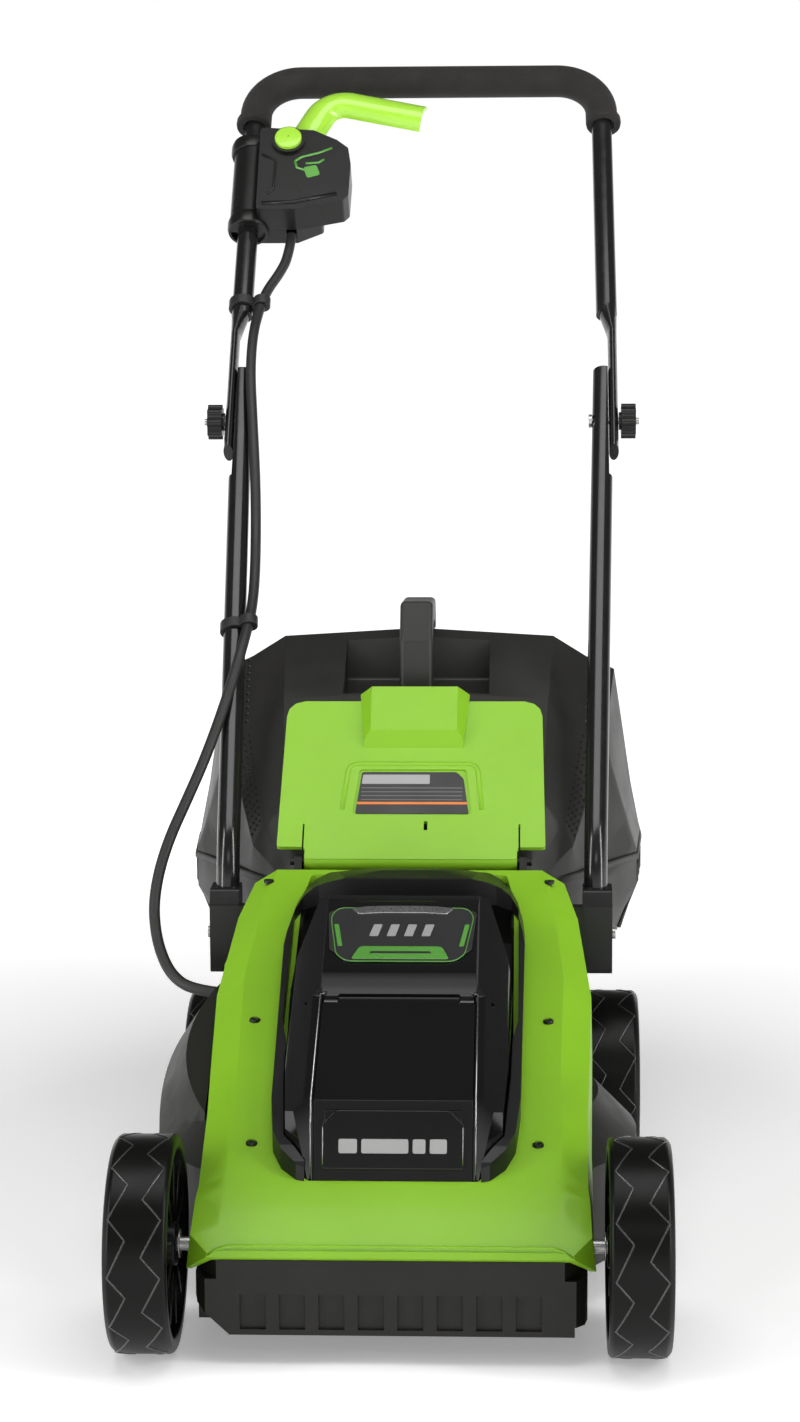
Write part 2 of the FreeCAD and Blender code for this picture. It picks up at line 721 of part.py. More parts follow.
def make_power():
    """Battery, its terminal block and the control board, all under the hood."""
    half = size("battery_width") / 2
    pack = plan_prism("pack", [(-half, -404), (half, -404), (half, -308), (-half, -308)], 102, 60, 6)
    grip = side_prism("pack_grip", [(-398, 160), (-398, 165), (-322, 186), (-316, 160)], 44, 2)
    node("battery_pack", fuse("battery_pack", pack, grip))
    terminal = box("terminal", (-22, -307.5, 102), (22, -297, 140))
    slots = [box("blade_slot", (x - 1, -309, 120), (x + 1, -302, 141)) for x in (-14, 0, 14)]
    node("battery_terminal", cut("battery_terminal", terminal, *slots))
    board = box("board", (-45, -184, 108), (45, -182, 190))
    capacitors = [
        cylinder("capacitor", 6, 18, Vector(x, -182, 150), Rotation(Vector(1, 0, 0), -90))
        for x in (-26, -8, 10)
    ]
    rails = [box("board_rail", (x, -188, 102), (x + 4, -178, 108)) for x in (-40, 36)]
    node("control_board", fuse("control_board", board, *capacitors, *rails))


# ---------------------------------------------------------------- wheels and axles


def wheel_body(name, mirror):
    """A wheel turned about X: tread, web and hub. It is built with its outer face at +X."""
    body = doc.addObject("PartDesign::Body", unique(name))
    tread = size("wheel_radius")
    width = size("tread_width")
    bore = size("axle_rod") + size("running_gap")
    profile = [
        (0, bore), (0, 15), (14, 17), (14, tread - 14), (0, tread - 10), (0, tread - 2.5),
        (2.5, tread), (width - 4, tread), (width, tread - 4), (width, tread - 12),
        (width - 8, tread - 16), (width - 8, 22), (width - 3, 20), (width - 3, 9), (19, 9),
        (19, bore),
    ]
    sketch = sketch_on(body, outline_edges([(x - width / 2, r) for x, r in profile]))
    turned = body.newObject("PartDesign::Revolution", unique("turned"))
    turned.Profile = sketch
    turned.ReferenceAxis = (sketch, ["H_Axis"])
    turned.Angle = 360
    body.Tip = turned
    body.Placement = Placement(Vector(), Rotation(Vector(0, 0, 1), 180 if mirror else 0))
    return body


def make_wheels():
    """Four wheels with hub caps, on two axle rods that sit in the deck's height slots."""
    for end, centre in AXLE_CENTRES.items():
        track = size(end + "_track")
        half_width = size("tread_width") / 2
        reach = track / 2 + half_width - 10
        rod = cylinder("rod", "dims.axle_rod", 2 * reach, centre + Vector(-reach, 0, 0), ALONG_X)
        washers = []
        for side in (-1, 1):
            inner = side * (track / 2 - half_width - 1.5)
            face = centre + Vector(inner - 0.6, 0, 0)
            washers.append(cut(
                "axle_washer",
                cylinder("washer", "dims.axle_rod + 5", 1.2, face, ALONG_X),
                cylinder("washer_bore", "dims.axle_rod", 4, face - Vector(1, 0, 0), ALONG_X),
            ))
        node(end + "_axle", rod)
        node(end + "_axle_washers", group("washers", washers))
        for hand, side in (("left", -1), ("right", 1)):
            middle = centre + Vector(side * track / 2, 0, 0)
            wheel = wheel_body("wheel", side < 0)
            wheel.Placement = Placement(middle, wheel.Placement.Rotation)
            node(f"{end}_wheel_{hand}", wheel)
            face = middle.x + side * (half_width - 3)
            outward = ALONG_X if side > 0 else Rotation(Vector(0, 1, 0), -90)
            cap = fuse(
                "cap",
                cylinder("cap_disc", 17, 2.4, Vector(face, middle.y, middle.z), outward),
                cylinder("cap_plug", 8.9, 6, Vector(face - side * 6, middle.y, middle.z), outward),
            )
            node(f"{end}_hub_cap_{hand}", cap)


# ---------------------------------------------------------------- flap and catcher


def flap_prism(name, outline, height, start, radius=0.0):
    """A solid with its outline in the flap's plane."""
    return prism(name, FLAP_TILT, outline, height, start, radius, HINGE_POINT)


def make_rear_flap():
    """The green flap that leans on the catcher, with a raised block and a framed panel."""
    rest = 4.0
    sheet = flap_prism(
        "flap_sheet",
        mirrored([(38, 164), (44, 160), (92, 160), (100, 157.5), (105, 152), (107, 144), (109, 9),
                  (86, 9), (86, -3)]),
        "dims.flap_wall",
        rest,
        3,
    )
    block_side = Rotation(Vector(0, 1, 0), Vector(0, 0, 1), Vector(1, 0, 0))
    block_view = FLAP_TILT.multiply(block_side)
    block_end_view = FLAP_TILT.multiply(FRONT_VIEW)

    def block_form(name, side_outline, end_outline, plan_outline):
        return common(
            name,
            prism(name + "_side", block_view, side_outline, 100, "middle", 0, HINGE_POINT),
            prism(name + "_end", block_end_view, end_outline, 100, -190, 0, HINGE_POINT),
            flap_prism(name + "_plan", plan_outline, 20, 0),
        )

    block = block_form("flap_block", [(100, 5), (110, 7.6), (122, 18), (168, 18), (168, 5)],
                       mirrored([(36, 18), (46, 7), (46, 5)]),
                       [(-46, 168), (46, 168), (40, 100), (-40, 100)])
    block_hollow = block_form("flap_block_hollow", [(110, 3), (112, 5), (124, 15), (165, 15), (165, 3)],
                              mirrored([(33.5, 15), (42, 5), (42, 3)]),
                              [(-43, 165), (43, 165), (37, 110), (-37, 110)])
    apron_quarter = flap_prism("apron_quarter", mirrored([(86, 0.5), (86, -9)]), 9, -0.5)
    apron_ring = cut(
        "apron_ring",
        cylinder("apron_outside", 8, 172, HINGE_POINT + Vector(-86, 0, 0), ALONG_X),
        cylinder("apron_inside", 6, 180, HINGE_POINT + Vector(-90, 0, 0), ALONG_X),
    )
    apron = common("apron", apron_ring, apron_quarter)
    rim = [
        flap_prism("flap_rim", [(side * 109, 11), (side * 107, 142), (side * 104.5, 142),
                                (side * 106.5, 11)], 3, rest - 1.9)
        for side in (-1, 1)
    ]
    panel = flap_prism("flap_panel", mirrored([(44, 88), (49, 41)]), 6, rest + 2.8, 3)
    slits = [
        flap_prism("flap_slit", [(side * 87.2, -5), (side * 88.6, -5), (side * 88.6, 32),
                                 (side * 87.2, 32)], 30, -12)
        for side in (-1, 1)
    ]
    drain = flap_prism("flap_drain", [(10, 26), (13, 26), (13, 35), (10, 35)], 30, -12)
    barrels = [
        cylinder("flap_barrel", 6, 24, HINGE_POINT + Vector(x, 0, 0), ALONG_X) for x in (-86, 62)
    ]
    barrel_webs = [
        flap_prism("barrel_web", [(x, -5), (x, 10), (x + 24, 10), (x + 24, -5)], 5, 0.5)
        for x in (-86, 62)
    ]
    bore = cylinder("flap_bore", "dims.bolt_radius + dims.running_gap", 240,
                    HINGE_POINT + Vector(-120, 0, 0), ALONG_X)
    spring_room = cylinder("spring_room", 5.5, 24, HINGE_POINT + Vector(-61, 0, 0), ALONG_X)
    solid = fuse("flap_solid", sheet, block, apron, *rim, *barrels, *barrel_webs)
    node("rear_flap", cut("rear_flap", solid, block_hollow, panel, *slits, drain, spring_room, bore))
    node("flap_hinge_rod", cylinder("flap_hinge_rod", "dims.bolt_radius", 196,
                                    HINGE_POINT + Vector(-98, 0, 0), ALONG_X))
    coil_tube = cut(
        "coil",
        cylinder("coil_outside", 5, 22, HINGE_POINT + Vector(-60, 0, 0), ALONG_X),
        cylinder("coil_inside", 3.4, 30, HINGE_POINT + Vector(-62, 0, 0), ALONG_X),
    )
    node("flap_spring", coil_tube)


def catcher_sections():
    """Half outlines of the grass catcher, from its mouth to its rear."""
    return [
        (-66, [(0, 245), (80, 245), (92, 243), (98, 238), (100, 215), (100, 200), (100, 180),
               (98, 150), (86, 122), (0, 122)]),
        (-48, [(0, 280), (84, 280), (100, 268), (108, 258), (114, 230), (116, 212), (116, 190),
               (112, 150), (98, 118), (0, 118)]),
        (-15, [(0, 318), (106, 316), (124, 292), (132, 276), (136, 240), (136, 225), (136, 200),
               (132, 165), (112, 118), (0, 118)]),
        (70, [(0, 391), (112, 386), (140, 362), (160, 350), (178, 285), (187, 258), (187, 225),
              (168, 190), (120, 125), (0, 118)]),
        (160, [(0, 436), (117, 429), (146, 411), (170, 400), (185, 300), (193, 260), (193, 225),
               (174, 168), (140, 128), (0, 120)]),
        (260, [(0, 416), (119, 410), (148, 392), (171, 378), (185, 295), (192, 258), (192, 225),
               (172, 168), (140, 130), (0, 122)]),
        (330, [(0, 386), (112, 384), (140, 365), (160, 350), (176, 285), (182, 256), (182, 228),
               (164, 180), (132, 150), (0, 142)]),
    ]


LID_SPLIT = 250.0  # height where the catcher's hard top meets its lower basket


def make_catcher():
    """The grass catcher: a lower basket, a hard top with a recess, and its handle."""
    wall = size("catcher_wall")
    outer = loft(catcher_sections())
    inner = loft(catcher_sections(), wall, -6, -wall)
    hollow = shape_of("catcher_hollow", inner)
    recess_block = side_prism("recess_block", [(70, 364), (152, 390), (152, 450), (70, 398)], 130)
    tray = common("recess_tray", recess_block, shape_of("catcher_form", outer))
    well = side_prism("recess_well", [(74, 368), (148, 392), (148, 460), (74, 460)], 124, 3)
    above = box("above_split", (-220, -100, LID_SPLIT + 0.15), (220, 400, 500))
    shell = cut("catcher_shell", shape_of("catcher_outside", outer), hollow)
    top = cut("top_with_well", fuse("top_with_tray", common("top_shell", shell, above), tray), well)
    vents = []
    for side in (-1, 1):
        for line in range(4):
            for step in range(16):
                y = 80.2 + step * 8.5
                across = 144 + (y - 70) * 0.055 + line * 4.6
                vents.append(cylinder("vent", 1.5, 120, Vector(side * across, y, 330)))
    node("catcher_top", cut("catcher_top", top, *vents))
    below = box("below_split", (-220, -100, 50), (220, 400, LID_SPLIT - 0.15))
    lower_shell = cut("catcher_lower_shell", shape_of("catcher_outside", outer),
                      shape_of("catcher_hollow", inner))
    node("catcher_basket", common("catcher_basket", lower_shell, below))
    arch = side_prism(
        "catcher_handle",
        [(80, 370.4), (80, 434), (98, 466), (178, 461), (192, 446), (197, 429.4), (172, 434.2),
         (162, 441), (112, 444), (104, 432), (104, 378.2)],
        28,
        4,
    )
    node("catcher_handle", arch)


# ---------------------------------------------------------------- handle

LEG_TURN = 42.0  # bend of the U tube at the grip
FLAT_TOP = 96.0  # how far above the fold bolt the tube's flattened end runs
FLAT_BOTTOM = 34.0
ROUND_LEG = FOLD_DROP - FLAT_TOP - 24  # how far below the grip the round tube runs
LOWER_TOP = 55.0  # how far above the fold bolt a lower tube ends
SOCKET_SCREW = Vector(0, -52.5, 212)


def side_name(side):
    return "left" if side < 0 else "right"


def lower_tube_route(side):
    """The foot, the bend and the top of a lower tube's centre line."""
    up = HANDLE_TILT.multVec(Vector(0, LOWER_TOP, 0))
    return [Vector(side * 150, -57, 186), Vector(side * 150, -42, 278),
            FOLD_POINT + up + Vector(side * (size("fold_x") + 1.5), 0, 0)]


def make_lower_tubes():
    """Two lower tubes, screwed into sockets on the deck, flat on the outside at the fold."""
    along = HANDLE_TILT.multVec(Vector(0, 1, 0))
    for side in (-1, 1):
        foot, bend, top = lower_tube_route(side)
        rod = swept_rod(bent_path([foot, bend, top], [90]), size("tube_radius"))
        hole_path = bent_path([foot - Vector(0, 0.3, 2), bend, FOLD_POINT - along * 70
                               + Vector(side * (size("fold_x") - 2.4), 0, 0)], [90])
        tube = shape_of("tube_rod", rod.cut(swept_rod(hole_path, size("tube_bore"))))
        flat_length = 118
        flat_cut = prism(
            "flat_cut", HANDLE_TILT,
            [(side * 165.9, -62), (side * 180, -62), (side * 180, flat_length - 62),
             (side * 165.9, flat_length - 62)],
            40, "middle", 0, FOLD_POINT,
        )
        bolt_hole = cylinder("bolt_hole", "dims.bolt_radius", 60,
                             FOLD_POINT + Vector(side * 170 - 30, 0, 0), ALONG_X)
        screw_hole = cylinder("socket_screw_hole", 2.1, 40, SOCKET_SCREW + Vector(side * 150 - 20, 0, 0),
                              ALONG_X)
        node(f"lower_tube_{side_name(side)}", cut("lower_tube", tube, flat_cut, bolt_hole, screw_hole))


def make_sockets():
    """Black sockets that hold the lower tubes against the deck's rear ears."""
    screws = []
    for side in (-1, 1):
        outline = [(-71.5, 182), (-71.5, 238), (-64, 250), (-34, 250), (-34, 226), (-44, 182)]
        low = side * 139.5 if side > 0 else side * 163
        block = prism("socket_block", SIDE_VIEW, outline, 23.5, low, 4)
        bore_path = bent_path([Vector(side * 150, -57.4, 184), Vector(side * 150, -42, 278),
                               Vector(side * 151, -20, 304)], [20])
        bore = shape_of("socket_bore", swept_rod(bore_path, size("tube_radius") + 0.1))
        near, far = sorted((side * 115, side * 141))
        tab = box("socket_tab", (near, -71.5, 182), (far, -67, 232))
        screw_hole = cylinder("socket_side_hole", 2.1, 80,
                              SOCKET_SCREW + Vector(side * 150 - 40, 0, 0), ALONG_X)
        node(f"handle_socket_{side_name(side)}",
             cut("handle_socket", fuse("socket", block, tab), bore, screw_hole))
        outward = ALONG_X if side > 0 else Rotation(Vector(0, 1, 0), -90)
        head = cylinder("socket_screw_head", 4.6, 3, SOCKET_SCREW + Vector(side * 163.2, 0, 0), outward)
        shank = cylinder("socket_screw_shank", 2, 22, SOCKET_SCREW + Vector(side * 142, 0, 0), outward)
        screws.append(fuse("socket_screw", head, shank))
    node("socket_screws", group("socket_screws", screws))


def make_fold_bolts():
    """The two bolts of the fold, each with its head inside and a knob outside."""
    bolts = []
    for side in (-1, 1):
        outward = ALONG_X if side > 0 else Rotation(Vector(0, 1, 0), -90)
        inner = size("fold_x") - size("tube_radius") - 3
        head = cylinder("bolt_head", 6, 3, FOLD_POINT + Vector(side * inner, 0, 0), outward)
        shank = cylinder("bolt_shank", "dims.bolt_radius", 42,
                         FOLD_POINT + Vector(side * (inner + 3), 0, 0), outward)
        bolts.append(fuse("fold_bolt", head, shank))
        bore = cylinder("knob_bore", "dims.bolt_radius + dims.running_gap", 40,
                        FOLD_POINT + Vector(side * 168, 0, 0), outward)
        neck = cylinder("knob_neck", 8, 3, FOLD_POINT + Vector(side * 175.3, 0, 0), outward)
        hub = cylinder("knob_hub", "dims.knob_radius - 2.5", "dims.knob_thickness",
                       FOLD_POINT + Vector(side * 177.2, 0, 0), outward)
        lobes = []
        for n in range(8):
            turn = math.radians(45 * n)
            offset = Vector(0, math.cos(turn), math.sin(turn)) * (size("knob_radius") - 3.2)
            lobes.append(cylinder("knob_lobe", 3.2, "dims.knob_thickness",
                                  FOLD_POINT + offset + Vector(side * 177.2, 0, 0), outward))
        node(f"fold_knob_{side_name(side)}", cut("fold_knob", fuse("knob", neck, hub, *lobes), bore))
    node("fold_bolts", group("fold_bolts", bolts))


def leg_point(side, along):
    """A point on the centre line of one leg of the U tube, which spreads towards its foot."""
    spread = size("leg_spacing") - 2 + 2 * min(-along / ROUND_LEG, 1.0)
    return on_handle(side * spread, along)


def u_path(leg_foot):
    """The centre line of the U tube, from one leg's foot to the other's."""
    points = [leg_point(-1, -leg_foot), leg_point(-1, 0), leg_point(1, 0), leg_point(1, -leg_foot)]
    return bent_path(points, [LEG_TURN, LEG_TURN])


def leg_ellipse(side, along, middle, thickness, depth):
    """The section of one leg of the U tube, at a place along it."""
    ring = Part.Wire([Part.Ellipse(Vector(), depth / 2, thickness / 2).toShape()])
    turn = HANDLE_TILT.multiply(Rotation(Vector(0, 0, 1), Vector(1, 0, 0), Vector(0, 1, 0)))
    ring.Placement = Placement(on_handle(side * middle, along), turn)
    return ring


def make_upper_handle():
    """The U tube of the upper handle, with flattened ends outside the lower tubes."""
    overlap = 8
    almost_round = 2 * size("tube_radius") - 0.3
    flat = (166.3 + size("flattened_tube") / 2, size("flattened_tube"), size("flattened_depth"))
    pieces = [swept_rod(u_path(ROUND_LEG), size("tube_radius"))]
    for side in (-1, 1):
        end = leg_ellipse(side, -FOLD_DROP - FLAT_BOTTOM, *flat)
        mid = leg_ellipse(side, -FOLD_DROP + FLAT_TOP, *flat)
        top = leg_ellipse(side, overlap - ROUND_LEG, size("leg_spacing"), almost_round,
                          almost_round + 0.2)
        pieces.append(Part.makeLoft([end, mid], True, True))
        pieces.append(Part.makeLoft([mid, top], True, True))
    inside = swept_rod(u_path(ROUND_LEG - overlap - 4), size("tube_bore"))
    tube = shape_of("u_tube", pieces[0].multiFuse(pieces[1:]).cut(inside))
    bore = cylinder("fold_bore", "dims.bolt_radius + dims.running_gap", 400,
                    FOLD_POINT + Vector(-200, 0, 0), ALONG_X)
    node("upper_handle", cut("upper_handle", tube, bore))

    foam_foot = 55
    foam = swept_rod(u_path(foam_foot), size("grip_radius"))
    tube_space = swept_rod(u_path(foam_foot + 5), size("tube_radius") + 0.1)
    node("foam_grip", shape_of("foam_grip", foam.cut(tube_space)))


def handle_prism(name, outline, height, start, radius=0.0):
    """A solid with its outline in the handle's plane."""
    return prism(name, HANDLE_TILT, outline, height, start, radius, GRIP_CENTRE)


def handle_cylinder(name, radius, length, across, along, start):
    """A cylinder that stands out of the handle's plane."""
    return cylinder(name, radius, length, on_handle(across, along, start), HANDLE_TILT)


LEVER_PIVOT = (-113, -112)
BUTTON_PLACE = (-129, -102)
BOX_MAIN_OUTLINE = [(-156, -84), (-106, -88), (-84, -100), (-73, -110), (-70, -130), (-71, -168),
                    (-76, -174), (-120, -184), (-156, -184)]
BOX_BACK_OUTLINE = [(-180, -90), (-174, -84), (-110, -88), (-96, -100), (-96, -172), (-120, -184),
                    (-176, -184), (-183, -176), (-179, -150)]


BOX_SCREWS = [(-151, -88.5), (-151, -179.5)]
CABLE_EXIT_OUTLINE = [(-129.8, -190), (-120.2, -190), (-120.2, -170), (-129.8, -170)]


def make_switch_box():
    """A two-part switch box clamped round the left leg."""
    front = size("box_front")
    back = size("box_back")
    wall = size("box_wall")
    leg = Part.Wire([Part.LineSegment(leg_point(-1, -220), leg_point(-1, -60)).toShape()])
    leg_space = swept_rod(leg, size("tube_radius") + 0.1)
    main = handle_prism("front_main", BOX_MAIN_OUTLINE, front - 0.1, 0.1, 4)
    column_line = Part.Wire([Part.LineSegment(leg_point(-1, -186), leg_point(-1, -83)).toShape()])
    front_half = handle_prism("front_half", [(-200, -200), (-120, -200), (-120, -70), (-200, -70)],
                              30, 0.1)
    column = common("leg_column", shape_of("column_rod", swept_rod(column_line, 17.5)), front_half)
    collar = handle_cylinder("button_collar", 15.5, 4, *BUTTON_PLACE, front - 0.5)
    button_well = handle_cylinder("button_well", "dims.button_radius + 0.3", 6, *BUTTON_PLACE, front)
    stem_hole = handle_cylinder("stem_hole", 3.6, 20, *BUTTON_PLACE, front - 10)
    room = handle_prism("front_room", [(-147, -92), (-112, -92), (-88, -104), (-75, -114), (-74, -166),
                                       (-120, -178), (-147, -178)], front - wall - 0.2, 0)
    slot = handle_prism("lever_slot", [(-141, -104), (-90, -104), (-90, -78), (-141, -78)], 13.5, 14.5)
    exit_front = handle_prism("cable_exit", CABLE_EXIT_OUTLINE, 12, -11)
    screw_holes = [handle_cylinder("box_screw_hole", 1.6, 30, u, v, -1) for u, v in BOX_SCREWS]
    pin_hole = handle_cylinder("pin_hole_front", "dims.bolt_radius", 20, *LEVER_PIVOT, 10)
    node("switch_box_front", cut(
        "switch_box_front", fuse("front_with_collar", main, column, collar), button_well, stem_hole,
        shape_of("leg_space", leg_space), room, slot, exit_front, *screw_holes, pin_hole,
    ))

    back_outside = handle_prism("back_outside", BOX_BACK_OUTLINE, back - 0.1, -back, 4)
    back_room = handle_prism("back_room", [(-147, -94), (-114, -94), (-99, -104), (-99, -168),
                                           (-120, -178), (-147, -178)], back - wall, wall - back)
    exit_back = handle_prism("cable_exit", CABLE_EXIT_OUTLINE, 12, -11)
    node("switch_box_back", cut("switch_box_back", back_outside,
                                shape_of("leg_space", leg_space), back_room, exit_back,
                                *[handle_cylinder("box_screw_hole", 1.6, 30, u, v, -25)
                                  for u, v in BOX_SCREWS]))
    screws = []
    for u, v in BOX_SCREWS:
        head = handle_cylinder("box_screw_head", 3, 2, u, v, -back - 2)
        shank = handle_cylinder("box_screw_shank", 1.5, back + 8, u, v, -back)
        screws.append(fuse("box_screw", head, shank))
    node("box_screws", group("box_screws", screws))


def make_start_lever():
    """The green start lever: a half pipe that swings up to the grip about a pin in the box."""
    middle = 11.0
    points = [on_handle(-123, -104, middle), on_handle(-93, -40, middle), on_handle(-4, -63, middle)]
    path = bent_path(points, [26])
    pipe = swept_rod(path, 16).cut(swept_rod(path, 13.2))
    half_space = handle_prism("lever_front", [(-160, -130), (30, -130), (30, 0), (-160, 0)], 20, 15.8)
    trough = common("lever_trough", shape_of("lever_pipe", pipe), half_space)
    hub = handle_cylinder("lever_hub", 9, 10, *LEVER_PIVOT, 15)
    bore = handle_cylinder("lever_bore", "dims.bolt_radius + dims.running_gap", 40, *LEVER_PIVOT, 0)
    node("start_lever", cut("start_lever", fuse("lever", trough, hub), bore))
    pin = handle_cylinder("lever_pin", "dims.bolt_radius", 18, *LEVER_PIVOT, 10)
    node("lever_pin", pin)

    travel_room = 2.8
    cap = handle_cylinder("button_cap", "dims.button_radius", 3.6, *BUTTON_PLACE,
                          size("box_front") + travel_room)
    stem = handle_cylinder("button_stem", 3.5, 3.2, *BUTTON_PLACE, size("box_front") - 0.3)
    node("lock_button", fuse("lock_button", cap, stem))
    node("micro_switch", fuse(
        "micro_switch",
        handle_prism("switch_case", [(-108, -160), (-84, -160), (-84, -142), (-108, -142)], 10, 2),
        handle_prism("switch_plunger", [(-98, -142), (-94, -142), (-94, -139), (-98, -139)], 3, 5),
    ))


# ---------------------------------------------------------------- cable

CABLE_LOWER = [
    GLAND_FACE, Vector(-170, -121, 179), Vector(-190, -108, 187), Vector(-203, -88, 206),
    Vector(-209, -70, 232), Vector(-207, -54, 258), Vector(-199, -38, 286), Vector(-186, -18, 315),
    Vector(-171, 6, 350), Vector(-155, 39, 398), Vector(-145, 72, 437), Vector(-140.5, 108, 462),
    Vector(-141, 147, 502), Vector(-144, 188, 558), Vector(-150, 230, 618),
]
CABLE_UPPER = [
    Vector(-150, 230, 618), Vector(-153.6, 255.2, 654), Vector(-153.6, 281, 684),
    Vector(-151, 309, 705), Vector(-145, 333, 725), Vector(-134, 351, 741), Vector(-127, 367, 756),
    Vector(-125, 386.5, 776),
]


def make_cable():
    """The start cable, from the deck's left side up to the switch box, held by two clips."""
    for label, points in (("cable_lower", CABLE_LOWER), ("cable_upper", CABLE_UPPER)):
        radii = easy_radii(points)
        path = bent_path(points, radii)
        solid = swept_rod(path, size("cable_radius"))
        expected = math.pi * size("cable_radius") ** 2 * path.Length
        print(label, "bend radii", [round(r) for r in radii],
              "volume over section x length", round(solid.Volume / expected, 4))
        node(label, shape_of(label, solid))
    gland = cylinder("gland_stub", 5.9, 29, Vector(-116, -125, 178), Rotation(Vector(0, 1, 0), -90))
    collar = cylinder("gland_collar", 8, 4.1, Vector(-140.9, -125, 178), Rotation(Vector(0, 1, 0), -90))
    node("cable_gland", fuse("cable_gland", gland, collar))


def make_clip(label, tube_run, cable_run, cable_share):
    """A rubber clip: one ring round the tube and a smaller ring round the cable."""
    height = 9.0
    along = (tube_run[1] - tube_run[0]).normalize()
    cable_along = (cable_run[1] - cable_run[0]).normalize()
    cable_middle = cable_run[0] + (cable_run[1] - cable_run[0]) * cable_share
    tube_middle = tube_run[0] + along * along.dot(cable_middle - tube_run[0])

    def ring(middle, radius, length, direction):
        turn = Rotation(Vector(0, 0, 1), direction)
        return cylinder("clip_ring", radius, length, middle - direction * (length / 2), turn)

    node(label, cut(
        label,
        fuse("clip", ring(tube_middle, 12.6, height, along), ring(cable_middle, 7.8, height, along),
             ring((tube_middle + cable_middle) * 0.5, 4.5, height, along)),
        ring(tube_middle, size("tube_radius") + 0.15, 30, along),
        ring(cable_middle, size("cable_radius") + 0.3, 30, cable_along),
    ))


def check_and_export():
    """Stops if an object failed, then writes each sub-part to its own file."""
    doc.recompute()
    for item in doc.Objects:
        if "Invalid" in item.State or "Error" in item.State:
            raise RuntimeError(f"{item.Label} did not recompute: {item.State}")
    for piece in sub_parts:
        if piece.Shape.isNull() or not piece.Shape.isValid() or not piece.Shape.Solids:
            raise RuntimeError(f"{piece.Label} has no valid solid")
    os.makedirs("parts", exist_ok=True)
    for piece in sub_parts:
        piece.Shape.exportStep(f"parts/{piece.Label}.step")
    print(len(sub_parts), "sub-parts written")


make_lower_deck()
make_upper_cover()
make_cover_screws()
make_motor_hood()
make_battery_lid()
make_hood_fittings()
make_carry_handle()
make_motor()
make_power()
make_wheels()
make_rear_flap()
make_catcher()
make_lower_tubes()
make_sockets()
make_fold_bolts()
make_upper_handle()
make_switch_box()
make_start_lever()
make_cable()
make_clip("cable_clip_lower", lower_tube_route(-1)[1:], CABLE_LOWER[10:12], 0.5)
make_clip("cable_clip_upper", (leg_point(-1, -ROUND_LEG), leg_point(-1, 0)), CABLE_UPPER[3:5], 0.5)
check_and_export()
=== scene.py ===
"""Looks of the push lawn mower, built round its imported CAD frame. Metres, +Z up, +Y to the rear."""

import json
import math

import bmesh
import bpy
from mathutils import Matrix, Vector


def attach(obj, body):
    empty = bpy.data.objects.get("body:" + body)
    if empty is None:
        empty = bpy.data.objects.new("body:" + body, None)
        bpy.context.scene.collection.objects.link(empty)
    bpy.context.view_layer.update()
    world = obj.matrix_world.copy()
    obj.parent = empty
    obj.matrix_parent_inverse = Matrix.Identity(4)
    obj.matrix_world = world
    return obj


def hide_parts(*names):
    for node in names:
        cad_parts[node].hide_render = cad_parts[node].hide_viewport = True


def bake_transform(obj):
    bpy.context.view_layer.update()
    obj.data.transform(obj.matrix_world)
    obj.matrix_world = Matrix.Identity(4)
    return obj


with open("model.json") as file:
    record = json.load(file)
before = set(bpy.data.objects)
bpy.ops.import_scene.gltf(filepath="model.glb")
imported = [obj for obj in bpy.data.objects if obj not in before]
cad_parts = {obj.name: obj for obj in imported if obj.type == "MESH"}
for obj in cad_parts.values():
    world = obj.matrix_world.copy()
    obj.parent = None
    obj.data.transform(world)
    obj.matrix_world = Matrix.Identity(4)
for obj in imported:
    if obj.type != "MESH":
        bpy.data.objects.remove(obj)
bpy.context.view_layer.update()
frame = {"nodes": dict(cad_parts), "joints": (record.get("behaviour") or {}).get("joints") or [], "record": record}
nodes = frame["nodes"]
scene = bpy.context.scene
MM = 0.001

joints = {joint["name"]: joint for joint in frame["joints"]}
HANDLE_LEAN = math.radians(49.8)
GRIP_CENTRE = Vector((0, 0.501, 0.921))
HANDLE_TILT = Matrix.Rotation(HANDLE_LEAN, 3, "X")
FLAP_HINGE = Vector(joints["flap_lift"]["pos_m"])
FLAP_TILT = Matrix.Rotation(math.radians(43), 3, "X")


def on_handle(across, along, out=0.0):
    """A point in the handle's plane, in millimetres across, up from the grip and out of it."""
    return GRIP_CENTRE + HANDLE_TILT @ (Vector((across, along, out)) * MM)


def on_flap(across, along, out=0.0):
    """A point in the rear flap's plane, in millimetres across, up from its hinge and out of it."""
    return FLAP_HINGE + FLAP_TILT @ (Vector((across, along, out)) * MM)


# ---------------------------------------------------------------- camera, floor and light


CAMERA_PLACE = (0.0919, -2.5057, 0.7636)
CAMERA_YAW, CAMERA_PITCH, CAMERA_ROLL = 2.342, 8.551, -0.286
CAMERA_LENS = 77.9


def make_camera():
    """A camera in front of the mower, at about the height of its handle, looking slightly down."""
    yaw, pitch, roll = (math.radians(angle) for angle in (CAMERA_YAW, CAMERA_PITCH, CAMERA_ROLL))
    forward = Vector((-math.sin(yaw) * math.cos(pitch), math.cos(yaw) * math.cos(pitch),
                      -math.sin(pitch)))
    level = Vector((math.cos(yaw), math.sin(yaw), 0))
    upright = level.cross(forward)
    right = level * math.cos(roll) + upright * math.sin(roll)
    up = upright * math.cos(roll) - level * math.sin(roll)
    data = bpy.data.cameras.new("camera")
    data.lens = CAMERA_LENS
    data.clip_end = 50
    camera = bpy.data.objects.new("camera", data)
    camera.matrix_world = Matrix.Translation(CAMERA_PLACE) @ Matrix(
        (right, up, -forward)
    ).transposed().to_4x4()
    scene.collection.objects.link(camera)
    scene.camera = camera


